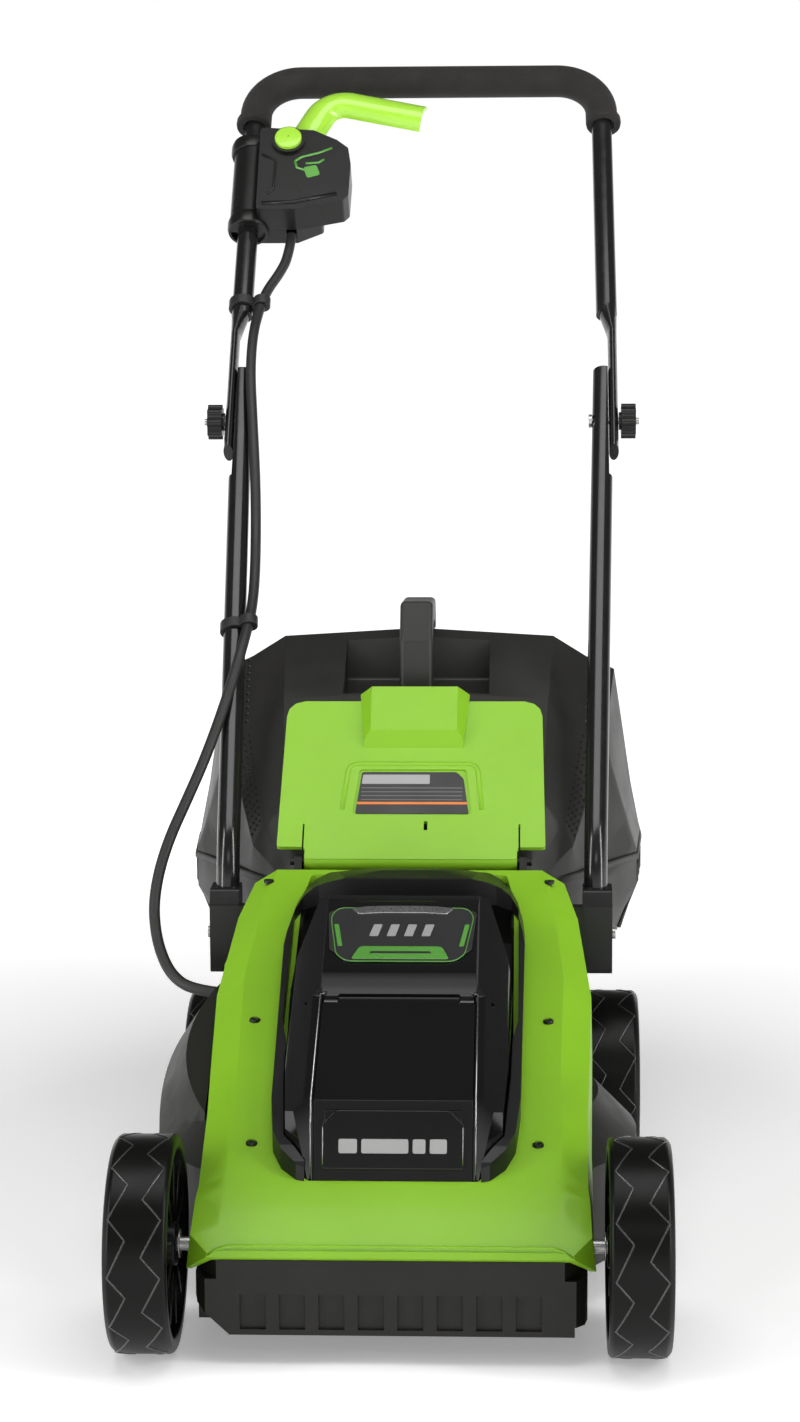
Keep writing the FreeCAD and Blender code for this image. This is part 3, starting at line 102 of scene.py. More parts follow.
def area_light(name, place, target, width, height, power):
    """A rectangular lamp at a place, turned towards a target. Metres and watts."""
    data = bpy.data.lights.new(name, "AREA")
    data.shape = "RECTANGLE"
    data.size, data.size_y, data.energy = width, height, power
    lamp = bpy.data.objects.new(name, data)
    lamp.location = place
    lamp.rotation_euler = (Vector(target) - Vector(place)).to_track_quat("-Z", "Y").to_euler()
    scene.collection.objects.link(lamp)


FLOOR_REACH = 30
FADE_DISTANCE = (0.4, 1.6)
FLOOR_GLOW = (0.26, 1.0)


def make_floor():
    """A plain pale floor that fades into the white surround away from the mower."""
    mesh = bpy.data.meshes.new("floor")
    corners = [(x * FLOOR_REACH, y * FLOOR_REACH, 0) for x, y in ((-1, -1), (1, -1), (1, 1), (-1, 1))]
    mesh.from_pydata(corners, [], [(0, 1, 2, 3)])
    floor = bpy.data.objects.new("floor", mesh)
    scene.collection.objects.link(floor)
    floor.location.z = -0.0005
    pale, tree, shader = shaded("floor_pale", (0.9, 0.9, 0.9), 0.7)
    place = tree.nodes.new("ShaderNodeTexCoord")
    distance = tree.nodes.new("ShaderNodeVectorMath")
    distance.operation = "LENGTH"
    fade = tree.nodes.new("ShaderNodeMapRange")
    fade.inputs["From Min"].default_value, fade.inputs["From Max"].default_value = FADE_DISTANCE
    fade.inputs["To Min"].default_value, fade.inputs["To Max"].default_value = FLOOR_GLOW
    tree.links.new(place.outputs["Object"], distance.inputs[0])
    tree.links.new(distance.outputs["Value"], fade.inputs["Value"])
    tree.links.new(fade.outputs["Result"], shader.inputs["Emission Strength"])
    shader.inputs["Emission Color"].default_value = (1, 1, 1, 1)
    floor.data.materials.append(pale)


WHITE_BELOW, DARK_ABOVE = 0.1, 0.3
CEILING_GREY = 0.09


def make_surround():
    """A studio that is white at the level of the horizon and darker towards its ceiling."""
    world = bpy.data.worlds.new("surround")
    world.use_nodes = True
    tree = world.node_tree
    place = tree.nodes.new("ShaderNodeTexCoord")
    split = tree.nodes.new("ShaderNodeSeparateXYZ")
    ramp = tree.nodes.new("ShaderNodeValToRGB")
    level, ceiling = ramp.color_ramp.elements
    level.position, ceiling.position = WHITE_BELOW, DARK_ABOVE
    level.color = (1, 1, 1, 1)
    ceiling.color = (CEILING_GREY, CEILING_GREY, CEILING_GREY, 1)
    tree.links.new(place.outputs["Generated"], split.inputs["Vector"])
    tree.links.new(split.outputs["Z"], ramp.inputs["Fac"])
    tree.links.new(ramp.outputs["Color"], tree.nodes["Background"].inputs["Color"])
    scene.world = world


def make_studio():
    """Soft light from above and a strip lamp on each side, as in a product studio."""
    scene.view_settings.view_transform = "Standard"
    make_floor()
    make_surround()
    area_light("top_soft", (0.1, -0.7, 2.7), (0, -0.1, 0.3), 2.4, 1.4, 31)
    area_light("left_strip", (-2.0, -1.3, 1.1), (0, 0, 0.35), 0.3, 2.2, 26)
    area_light("right_strip", (2.0, -1.1, 1.2), (0, 0, 0.35), 0.3, 2.2, 28)
    area_light("front_soft", (0.3, -3.4, 2.2), (0, -0.2, 0.3), 1.6, 0.5, 5)


# ---------------------------------------------------------------- materials


def shaded(name, colour, roughness, metallic=0.0, coat=0.0, gloss=0.5):
    """A material with its own shader, and the node tree to add detail to."""
    material = bpy.data.materials.new(name)
    material.use_nodes = True
    shader = material.node_tree.nodes["Principled BSDF"]
    shader.inputs["Base Color"].default_value = (*colour, 1)
    shader.inputs["Roughness"].default_value = roughness
    shader.inputs["Metallic"].default_value = metallic
    shader.inputs["Coat Weight"].default_value = coat
    shader.inputs["Specular IOR Level"].default_value = gloss
    shader.inputs["Coat Roughness"].default_value = 0.06
    return material, material.node_tree, shader


def add_noise(tree, scale, detail=4.0, stretch=(1, 1, 1)):
    """Noise in the part's own coordinates, so that it stays with the part."""
    place = tree.nodes.new("ShaderNodeTexCoord")
    mapping = tree.nodes.new("ShaderNodeMapping")
    mapping.inputs["Scale"].default_value = stretch
    noise = tree.nodes.new("ShaderNodeTexNoise")
    noise.inputs["Scale"].default_value = scale
    noise.inputs["Detail"].default_value = detail
    tree.links.new(place.outputs["Object"], mapping.inputs["Vector"])
    tree.links.new(mapping.outputs["Vector"], noise.inputs["Vector"])
    return noise


def vary_colour(tree, shader, noise, low, high):
    """Lets the base colour drift between two colours with a noise."""
    ramp = tree.nodes.new("ShaderNodeValToRGB")
    ramp.color_ramp.elements[0].position, ramp.color_ramp.elements[1].position = 0.3, 0.7
    ramp.color_ramp.elements[0].color = (*low, 1)
    ramp.color_ramp.elements[1].color = (*high, 1)
    tree.links.new(noise.outputs["Fac"], ramp.inputs["Fac"])
    tree.links.new(ramp.outputs["Color"], shader.inputs["Base Color"])


def vary_roughness(tree, shader, noise, low, high):
    """Lets the roughness drift between two values with a noise."""
    spread = tree.nodes.new("ShaderNodeMapRange")
    spread.inputs["From Min"].default_value, spread.inputs["From Max"].default_value = 0.3, 0.7
    spread.inputs["To Min"].default_value, spread.inputs["To Max"].default_value = low, high
    tree.links.new(noise.outputs["Fac"], spread.inputs["Value"])
    tree.links.new(spread.outputs["Result"], shader.inputs["Roughness"])


def add_bump(tree, shader, height_socket, depth, strength=1.0):
    """Fine relief, as deep as given in metres, from a height."""
    bump = tree.nodes.new("ShaderNodeBump")
    bump.inputs["Distance"].default_value = depth
    bump.inputs["Strength"].default_value = strength
    tree.links.new(height_socket, bump.inputs["Height"])
    tree.links.new(bump.outputs["Normal"], shader.inputs["Normal"])


def moulded(name, colour, roughness, grain=0.00005, grain_scale=2600, drift=0.12, coat=0.0,
            gloss=0.5):
    """Injection-moulded plastic: a fine spark-eroded grain, faint flow marks and handling sheen."""
    material, tree, shader = shaded(name, colour, roughness, 0.0, coat, gloss)
    flow = add_noise(tree, 9, 3)
    low = tuple(c * (1 - drift) for c in colour)
    high = tuple(min(1.0, c * (1 + drift)) for c in colour)
    vary_colour(tree, shader, flow, low, high)
    vary_roughness(tree, shader, add_noise(tree, 38, 5), roughness * 0.88, roughness * 1.14)
    add_bump(tree, shader, add_noise(tree, grain_scale, 2).outputs["Fac"], grain)
    return material


def metal(name, colour, roughness, stretch=(1, 1, 1)):
    """Plated or turned steel with fine tool marks."""
    material, tree, shader = shaded(name, colour, roughness, 1.0)
    marks = add_noise(tree, 900, 6, stretch)
    vary_roughness(tree, shader, marks, roughness * 0.75, roughness * 1.3)
    vary_colour(tree, shader, add_noise(tree, 60, 4), tuple(c * 0.82 for c in colour), colour)
    add_bump(tree, shader, marks.outputs["Fac"], 0.00003)
    return material


def foam_material():
    """Closed-cell foam: small pores and a skin that is a little worn."""
    material, tree, shader = shaded("foam", (0.018, 0.016, 0.0145), 0.85, 0.0, 0.0, 0.3)
    shader.inputs["Sheen Weight"].default_value = 0.06
    shader.inputs["Sheen Roughness"].default_value = 0.5
    place = tree.nodes.new("ShaderNodeTexCoord")
    pores = tree.nodes.new("ShaderNodeTexVoronoi")
    pores.inputs["Scale"].default_value = 900
    tree.links.new(place.outputs["Object"], pores.inputs["Vector"])
    vary_colour(tree, shader, add_noise(tree, 45, 6), (0.014, 0.0125, 0.0115), (0.022, 0.0195, 0.018))
    add_bump(tree, shader, pores.outputs["Distance"], 0.00035, 0.7)
    return material


def painted_tube():
    """Gloss black powder paint with a light orange-peel."""
    material, tree, shader = shaded("tube_paint", (0.0085, 0.0085, 0.009), 0.2, 0.0, 0.2)
    vary_roughness(tree, shader, add_noise(tree, 70, 4), 0.17, 0.24)
    vary_colour(tree, shader, add_noise(tree, 20, 4), (0.0075, 0.0075, 0.008), (0.01, 0.01, 0.0105))
    add_bump(tree, shader, add_noise(tree, 260, 2).outputs["Fac"], 0.00002)
    return material


GREEN = (0.238, 0.505, 0.018)
LEVER_GREEN = (0.36, 0.70, 0.05)
# Plastics: name, colour, roughness, depth and scale of the grain, colour drift, coat, gloss
look = {
    "cover_green": moulded("cover_green", GREEN, 0.4, 0.00004, 2200, 0.05, 0.08, 0.35),
    "lever_green": moulded("lever_green", LEVER_GREEN, 0.2, 0.00001, 2200, 0.04, 0.4),
    "arch_black": moulded("arch_black", (0.007, 0.007, 0.007), 0.38, 0.00002, 1800, 0.15, 0.0, 0.4),
    "deck_black": moulded("deck_black", (0.0115, 0.011, 0.009), 0.46, 0.00008, 1700, 0.2, 0.0, 0.32),
    "hood_black": moulded("hood_black", (0.005, 0.005, 0.005), 0.11, 0.000005, 900, 0.2, 0.15),
    "box_black": moulded("box_black", (0.008, 0.008, 0.0075), 0.3, 0.00004, 2000, 0.2, 0.0, 0.4),
    "bag_black": moulded("bag_black", (0.019, 0.0185, 0.0165), 0.44, 0.00008, 1500, 0.15, 0.0, 0.45),
    "wheel_black": moulded("wheel_black", (0.0035, 0.0034, 0.003), 0.34, 0.00005, 1600, 0.25, 0.0, 0.18),
    "badge": moulded("badge_grey", (0.03, 0.03, 0.031), 0.3, 0.00003, 1800, 0.1, 0.2),
    "rubber_black": moulded("rubber_black", (0.016, 0.015, 0.0145), 0.5, 0.00008, 1400, 0.2),
    "tube_black": painted_tube(),
    "foam_black": foam_material(),
    "steel": metal("turned_steel", (0.56, 0.56, 0.57), 0.28, (1, 1, 9)),
    "zinc": metal("zinc_plate", (0.6, 0.6, 0.58), 0.34),
    "motor_grey": metal("motor_can", (0.3, 0.3, 0.31), 0.42),
    "board_green": moulded("board_green", (0.02, 0.14, 0.06), 0.35),
    # A lighter, glossier copy of the wheel's black, which paints highlights on the tread lines
    "tread_highlight_black": moulded("tread_highlight_black", (0.035, 0.035, 0.033), 0.25, 0.00003, 1600, 0.1, 0.3),
    # Near-black for flat discs that paint the shade inside vent holes
    "vent_painted_shade": moulded("vent_painted_shade", (0.002, 0.002, 0.002), 0.7),
    # Bright metal for beads that paint highlights on the black hood's rounded edges
    "painted_highlight_bead": metal("painted_highlight_bead", (0.5, 0.5, 0.5), 0.22),
    "silver": metal("badge_silver", (0.62, 0.62, 0.63), 0.3),
    "badge_green": moulded("badge_green", (0.1, 0.33, 0.05), 0.3, 0.00002, 1800, 0.08, 0.2),
    "pale_print": moulded("pale_print", (0.36, 0.36, 0.36), 0.4, 0.00001, 1500, 0.06),
    "grey_print": moulded("grey_print", (0.11, 0.11, 0.11), 0.5, 0.00001, 1500, 0.06),
    "amber_print": moulded("amber_print", (0.75, 0.2, 0.03), 0.45, 0.00001, 1500, 0.06),
    "plate_dark": moulded("plate_dark", (0.018, 0.018, 0.018), 0.4, 0.00002, 1500, 0.12),
    "screw_dark": metal("screw_dark", (0.05, 0.05, 0.05), 0.45),
    "blade_steel": metal("blade_paint", (0.09, 0.09, 0.095), 0.4, (1, 8, 1)),
}


# ---------------------------------------------------------------- CAD nodes that are shown


EDGE_ANGLE = math.radians(30)
FLAT_ANGLE = math.radians(1.2)
WELD_DISTANCE = 0.02 * MM
EDGE_SEGMENTS = 3


def soften(name, width):
    """Rounds a CAD node's edges as a mould or a press does. Its own points stay as they are."""
    piece = nodes[name]
    if "custom_normal" in piece.data.attributes:
        piece.data.attributes.remove(piece.data.attributes["custom_normal"])
    piece.data.shade_smooth()
    weld = piece.modifiers.new("weld", "WELD")
    weld.merge_threshold = WELD_DISTANCE
    flatten = piece.modifiers.new("flatten", "DECIMATE")
    flatten.decimate_type = "DISSOLVE"
    flatten.angle_limit = FLAT_ANGLE
    bevel = piece.modifiers.new("bevel", "BEVEL")
    bevel.width, bevel.segments = width, EDGE_SEGMENTS
    bevel.limit_method = "ANGLE"
    bevel.angle_limit = EDGE_ANGLE
    bevel.miter_outer = "MITER_ARC"
    weights = piece.modifiers.new("weights", "WEIGHTED_NORMAL")
    weights.keep_sharp = True


slot_of = {row["node"]: row["material_slot"] for row in frame["record"]["subparts"]}
# How far each node's edges are rounded, in millimetres; the rest get PLAIN_EDGE
PLAIN_EDGE = 0.4
EDGE_WIDTHS = {
    "upper_cover": 1.6, "motor_hood": 2.2, "battery_lid": 1.2, "carry_handle": 3.6,
    "lower_deck": 1.4, "rear_flap": 1.8, "switch_box_front": 2.6, "switch_box_back": 1.6,
    "catcher_top": 1.2, "catcher_basket": 2.5, "catcher_handle": 4.0, "start_lever": 0.7,
    "handle_socket_left": 1.4, "handle_socket_right": 1.4, "fold_knob_left": 1.0,
    "fold_knob_right": 1.0, "lock_button": 0.25, "foam_grip": 1.5, "battery_pack": 2.0,
    "front_wheel_left": 1.6, "front_wheel_right": 1.6, "rear_wheel_left": 1.6,
    "rear_wheel_right": 1.6,
}
# Nodes that look different from the rest of their slot
FINISH = {"cover_screws": "screw_dark", "box_screws": "screw_dark", "flap_hinge_rod": "screw_dark",
          "lock_button": "lever_green", "start_lever": "lever_green", "carry_handle": "arch_black"}
for name in nodes:
    nodes[name].data.materials.clear()
    nodes[name].data.materials.append(look[FINISH.get(name, slot_of[name])])
    soften(name, EDGE_WIDTHS.get(name, PLAIN_EDGE) * MM)


# ---------------------------------------------------------------- start cable

CABLE_DIAMETER = 0.0092
# From the gland on the deck, past both clips, to the switch box, in millimetres
CABLE_ROUTE = [
    (-146, -125, 178), (-170, -121, 179), (-190, -108, 187), (-203, -88, 206), (-209, -70, 232),
    (-207, -54, 258), (-199, -38, 286), (-186, -18, 315), (-171, 6, 350), (-155, 39, 398),
    (-145, 72, 437), (-140.5, 108, 462), (-141, 147, 502), (-144, 188, 558), (-150, 230, 618),
    (-153.6, 255.2, 654), (-153.6, 281, 684), (-151, 309, 705), (-145, 333, 725),
    (-134, 351, 741), (-127, 367, 756), (-125, 386.5, 776),
]


def route_curve(name, points, thickness):
    """A smooth NURBS line through a given route, as thick as asked."""
    data = bpy.data.curves.new(name, "CURVE")
    data.dimensions = "3D"
    data.resolution_u = 8
    data.bevel_depth = thickness / 2
    data.bevel_resolution = 5
    spline = data.splines.new("NURBS")
    spline.points.add(len(points) - 1)
    for control, (x, y, z) in zip(spline.points, points):
        control.co = (x * MM, y * MM, z * MM, 1)
    spline.order_u = 3
    spline.use_endpoint_u = True
    return bpy.data.objects.new(name, data)


def mesh_of(curve):
    """The mesh that a curve object evaluates to, as a new object."""
    scene.collection.objects.link(curve)
    bpy.context.view_layer.update()
    mesh = bpy.data.meshes.new_from_object(curve.evaluated_get(bpy.context.evaluated_depsgraph_get()))
    scene.collection.objects.unlink(curve)
    return mesh


def make_cable():
    """The start cable in one piece, on a fixed route."""
    line = mesh_of(route_curve("cable_line", CABLE_ROUTE, 0))
    cable = bpy.data.objects.new("start_cable", mesh_of(
        route_curve("cable_form", CABLE_ROUTE, CABLE_DIAMETER)))
    scene.collection.objects.link(cable)
    cable.data.materials.clear()
    cable.data.materials.append(look["rubber_black"])
    cable.data.shade_smooth()
    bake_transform(cable)
    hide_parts("cable_lower", "cable_upper")


# ---------------------------------------------------------------- helpers for the finer pieces


def add_piece(name, mesh, material, body):
    """Puts a mesh in the scene as a piece of the object that moves with a body."""
    piece = bpy.data.objects.new(name, mesh)
    scene.collection.objects.link(piece)
    piece.data.materials.clear()
    piece.data.materials.append(material)
    piece.data.shade_smooth()
    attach(piece, body)
    return piece


def round_off(piece, width, segments=3, angle=25.0):
    """Rounds the edges of a finer piece that are sharper than an angle in degrees."""
    bevel = piece.modifiers.new("bevel", "BEVEL")
    bevel.width, bevel.segments = width, segments
    bevel.limit_method = "ANGLE"
    bevel.angle_limit = math.radians(angle)
    weights = piece.modifiers.new("weights", "WEIGHTED_NORMAL")
    weights.keep_sharp = True


def mirror_x(half):
    """A closed outline from its right half, which runs from the top to the bottom."""
    return half + [(-x, y) for x, y in reversed(half)]


def rounded(outline, radius, steps=4):
    """The outline with each corner turned into a short arc."""
    result = []
    count = len(outline)
    for number in range(count):
        corner = Vector(outline[number])
        to_last = Vector(outline[number - 1]) - corner
        to_next = Vector(outline[(number + 1) % count]) - corner
        reach = min(radius, to_last.length * 0.45, to_next.length * 0.45)
        start = corner + to_last.normalized() * reach
        end = corner + to_next.normalized() * reach
        for step in range(steps + 1):
            share = step / steps
            result.append(tuple(start.lerp(corner, share).lerp(corner.lerp(end, share), share)))
    return result


def plate(name, outline, place, low, high, material, body, radius=1.0, edge=0.3):
    """A flat plate: an outline in millimetres on a surface, from one height to another."""
    points = rounded(outline, radius)
    mesh = bmesh.new()
    bottom = [mesh.verts.new(place(x, y, low)) for x, y in points]
    top = [mesh.verts.new(place(x, y, high)) for x, y in points]
    mesh.faces.new(bottom)
    mesh.faces.new(top)
    for number in range(len(points)):
        after = (number + 1) % len(points)
        mesh.faces.new((bottom[number], bottom[after], top[after], top[number]))
    bmesh.ops.recalc_face_normals(mesh, faces=mesh.faces)
    data = bpy.data.meshes.new(name)
    mesh.to_mesh(data)
    piece = add_piece(name, data, material, body)
    round_off(piece, edge * MM)


def ridges(name, lines, width, height, material, body, closed=False):
    """Raised lines with rounded tops; each line is a list of (point, surface normal)."""
    profile = [(-0.5, -0.4), (-0.42, 0.55), (-0.2, 1.0), (0.2, 1.0), (0.42, 0.55), (0.5, -0.4)]
    mesh = bmesh.new()
    for line in lines:
        count = len(line)
        rings = []
        for number, (point, normal) in enumerate(line):
            last = line[number - 1 if number or closed else number][0]
            following = line[(number + 1) % count if number + 1 < count or closed else number][0]
            side = (following - last).cross(normal).normalized()
            rings.append([mesh.verts.new(point + side * (a * width * MM) + normal * (b * height * MM))
                          for a, b in profile])
        joined = list(zip(rings, rings[1:]))
        if closed:
            joined.append((rings[-1], rings[0]))
        else:
            mesh.faces.new(rings[0])
            mesh.faces.new(rings[-1])
        for first, second in joined:
            for corner in range(len(profile)):
                after = (corner + 1) % len(profile)
                mesh.faces.new((first[corner], first[after], second[after], second[corner]))
    bmesh.ops.recalc_face_normals(mesh, faces=mesh.faces)
    data = bpy.data.meshes.new(name)
    mesh.to_mesh(data)
    add_piece(name, data, material, body)


def on_surface(points, place, out=0.0):
    """A line for ridges() from points in millimetres on a flat surface."""
    normal = (place(0, 0, 1) - place(0, 0, 0)).normalized()
    return [(place(x, y, out), normal) for x, y in points]


def turned(name, profile, middle, axis, material, body, steps=48):
    """A turned piece: (radius, height) pairs in millimetres, swept round an axis."""
    turn = axis.to_track_quat("Z", "Y").to_matrix()
    mesh = bmesh.new()
    rings = []
    for step in range(steps):
        angle = 2 * math.pi * step / steps
        rings.append([
            mesh.verts.new(middle + turn @ (Vector((r * math.cos(angle), r * math.sin(angle), h)) * MM))
            for r, h in profile
        ])
    for number in range(steps):
        first, second = rings[number], rings[(number + 1) % steps]
        for corner in range(len(profile)):
            after = (corner + 1) % len(profile)
            mesh.faces.new((first[corner], first[after], second[after], second[corner]))
    bmesh.ops.recalc_face_normals(mesh, faces=mesh.faces)
    data = bpy.data.meshes.new(name)
    mesh.to_mesh(data)
    piece = add_piece(name, data, material, body)
    round_off(piece, 0.3 * MM, 2, 35)


# ---------------------------------------------------------------- wheels

WHEELS = {
    "front_wheel_left": (-172, -440), "front_wheel_right": (172, -440),
    "rear_wheel_left": (-164, -10), "rear_wheel_right": (164, -10),
}
AXLE_HEIGHT = 76
TREAD_RADIUS = 76
TREAD_TEETH = 12
WHEEL_FACE = 19.2
RIB_COUNT = 10
RIB_RADII = (21, 34, 47, 58)


def tread_line(middle, near, far, rise):
    """A zigzag round the tread; rise is the share of a tooth that climbs from near to far."""
    line = []
    for tooth in range(TREAD_TEETH):
        for share in (0, 0.25, 0.5, 0.75):
            for start, length, low, high in ((0, rise, near, far), (rise, 1 - rise, far, near)):
                line.append((tooth + start + share * length, low + (high - low) * share))
    line.sort()
    result = []
    for turn, across in line:
        angle = 2 * math.pi * turn / TREAD_TEETH
        outward = Vector((0, math.cos(angle), math.sin(angle)))
        result.append((middle + Vector((across * MM, 0, 0)) + outward * ((TREAD_RADIUS - 0.05) * MM),
                       outward))
    return result


def make_wheel_details():
    """Zigzag tread lines in a lighter copy of the wheel's black that paints their highlights, and ribs on each
    wheel's outer and inner face.
    """
    for name, (x, y) in WHEELS.items():
        middle = Vector((x, y, AXLE_HEIGHT)) * MM
        lines = [tread_line(middle, -18, -6, 0.36), tread_line(middle, 18, 5, 0.64)]
        ridges(name + "_tread", lines, 1.5, 0.5, look["tread_highlight_black"], name, True)
        for side in (-1, 1):
            face = side * WHEEL_FACE
            spokes = []
            for number in range(RIB_COUNT):
                angle = 2 * math.pi * (number + 0.5) / RIB_COUNT
                outward = Vector((0, math.cos(angle), math.sin(angle)))
                flat = Vector((side, 0, 0))
                spokes.append([(middle + Vector((face * MM, 0, 0)) + outward * (r * MM), flat)
                               for r in RIB_RADII])
            ridges(f"{name}_ribs_{'out' if side > 0 else 'in'}", spokes, 2.4, 1.0,
                   look["wheel_black"], name)


# ---------------------------------------------------------------- hood, badge and lid

BADGE_LEAN = Matrix.Rotation(math.atan2(30, 73), 3, "X")
BADGE_CENTRE = Vector((0, -0.2515, 0.255))
FRONT_LEAN = Matrix.Rotation(math.atan2(41, 11.7), 3, "X")
FRONT_FOOT = Vector((0, -0.4256, 0.124))


def on_badge(across, along, out=0.0):
    """A point on the badge panel, in millimetres across, up its slope and out of it."""
    return BADGE_CENTRE + BADGE_LEAN @ (Vector((across, along, out)) * MM)


def on_front(across, along, out=0.0):
    """A point on the lid's front, in millimetres across, up from its foot and out of it."""
    return FRONT_FOOT + FRONT_LEAN @ (Vector((across, along, out)) * MM)


def make_badge():
    """A plain badge: a silver bar, green tabs, a green band and slanted bars, without writing."""
    plate("badge_bar", mirror_x([(14, 35.2), (27, 34.4), (39, 32), (33, 24.5), (17, 26.2)]), on_badge,
          1.0, 1.9, look["silver"],
          "deck", 2.0)
    plate("badge_band", mirror_x([(30.5, -17.5), (36.5, -33.5)]), on_badge, 1.0, 1.7,
          look["badge_green"], "deck", 3.0)
    plate("badge_rule", mirror_x([(22, -24.2), (23, -26.8)]), on_badge, 1.6, 1.9, look["badge"],
          "deck", 0.5, 0.1)
    for side in (-1, 1):
        tab = [(side * 51, 11), (side * 47.5, 11), (side * 43.5, -17), (side * 47, -17)]
        plate(f"badge_tab_{'right' if side > 0 else 'left'}", tab, on_badge, 1.0, 1.7,
              look["badge_green"], "deck", 0.8, 0.2)
    for number in range(4):
        x = -24 + number * 13
        bar = [(x, -4), (x + 6.5, -4), (x + 9.5, 11), (x + 3, 11)]
        plate(f"badge_mark_{number}", bar, on_badge, 1.0, 1.6, look["pale_print"], "deck",
              0.8, 0.1)
    outline = rounded(mirror_x([(49, 33), (54, 22), (48, -27), (40, -36)]), 6)
    ridges("badge_outline", [on_surface(outline, on_badge, 1.0)], 0.9, 0.5, look["badge_green"],
           "deck", True)


def make_lid_details():
    """Rounded beads beside the lid in a bright metal that paints the highlights on its black edges, the raised
    panel on its front, and painted highlight lines along the panel's sides.
    """
    for side, hand in ((-1, "left"), (1, "right")):
        slope = (Vector((0, -301, 220.4)), Vector((0, -408, 171.6)), Vector((0, -424, 117.5)))
        normal = (Vector((0, -0.414, 0.91)), Vector((0, -0.8, 0.6)), Vector((0, -0.959, 0.284)))
        kink = Vector((side * 52, 0, 0))
        line = [((kink + Vector((0, -296.5, 222))) * MM, normal[0])]
        for point, out in zip(slope, normal):
            line.append(((point + Vector((side * 58.2, 0, 0))) * MM, out))
        # The bead's bright metal paints the highlight along the lid's edge
        ridges(f"lid_edge_painted_highlight_{hand}", [line], 1.3, 0.9, look["painted_highlight_bead"], "deck")
    panel = mirror_x([(40, 43), (50, 33), (50, 2)])
    plate("lid_raised_panel", panel, on_front, -0.6, 1.6, look["hood_black"], "lid",
          2.5, 0.8)
    # Thin bright metal beads that paint highlight lines along the panel's sides
    for side, hand in ((-1, "left"), (1, "right")):
        ridges(f"panel_edge_painted_highlight_{hand}", [on_surface([(side * 49.2, 5), (side * 49.2, 31)], on_front, 1.4)],
               0.7, 0.5, look["painted_highlight_bead"], "lid")
    for number, (x, width) in enumerate([(-38, 13), (-22, 33), (14, 9), (26, 12)]):
        bar = [(x, 13), (x + width, 13), (x + width, 23), (x, 23)]
        plate(f"lid_mark_{number}", bar, on_front, 1.4, 1.9, look["pale_print"], "lid",
              1.5, 0.1)


# ---------------------------------------------------------------- flap, cover and deck


def make_flap_details():
    """A raised frame and a plain plate where the flap carries its notice."""
    frame_line = rounded([(-58, 38), (-53, 94), (53, 94), (58, 38)], 9)[4:16]
    ridges("flap_frame", [on_surface(frame_line, on_flap, 8)], 4.4, 0.7, look["cover_green"], "flap")
    plate("flap_plate", [(-42, 86), (36, 86), (42, 79), (46.5, 43), (-46.5, 43)], on_flap, 6.4, 7.3,
          look["plate_dark"], "flap", 2.0, 0.2)
    plate("flap_plate_band", [(-41, 83), (14, 83), (14, 73.5), (-42, 73.5)], on_flap, 7.2, 7.5,
          look["pale_print"], "flap", 1.0, 0.05)
    plate("flap_plate_stripe", [(-45, 55), (45, 55), (45.4, 52.5), (-45.4, 52.5)], on_flap, 7.2, 7.5,
          look["amber_print"], "flap", 0.2, 0.05)
    for number in range(4):
        y = 70 - number * 4
        plate(f"flap_plate_rule_{number}", [(-42, y), (41, y), (41, y - 1.2), (-42, y - 1.2)], on_flap,
              7.2, 7.4, look["grey_print"], "flap", 0.3, 0.04)


def on_left_side(across, along, out=0.0):
    """A point on the mower's left side: towards the rear, up, and out."""
    return Vector((-135 - out, across, along)) * MM


def make_cable_tab():
    """The cover's small tab over the place where the cable leaves the deck."""
    plate("cable_tab", [(-139, 190), (-111, 190), (-113, 204), (-137, 204)], on_left_side, -2, 10,
          look["cover_green"], "deck", 4.0, 0.8)


def make_cover_lip():
    """The thin crease along the cover's front edge, which turns down at the two corners."""
    front_y = -476
    half = [(0, 86.5), (112, 86.5), (119, 84), (125.5, 79.5)]
    line = [(-x, z) for x, z in reversed(half)] + half[1:]
    forward = Vector((0, -1, 0))
    ridges("cover_lip", [[(Vector((x, front_y, z)) * MM, forward) for x, z in line]], 1.8, 0.9,
           look["cover_green"], "deck")


# ---------------------------------------------------------------- grass catcher

VENT_ROWS, VENT_COLUMNS, VENT_SIDES = 14, 4, 10
VENT_RADIUS = 1.5
RIM_HEIGHT = 252
# Where the catcher's shoulder facet starts and ends across the mower: (y, (x, z), (x, z))
SHOULDERS = [(-12, (124.6, 294.4), (133, 278.6)), (70, (140, 362), (160, 350))]


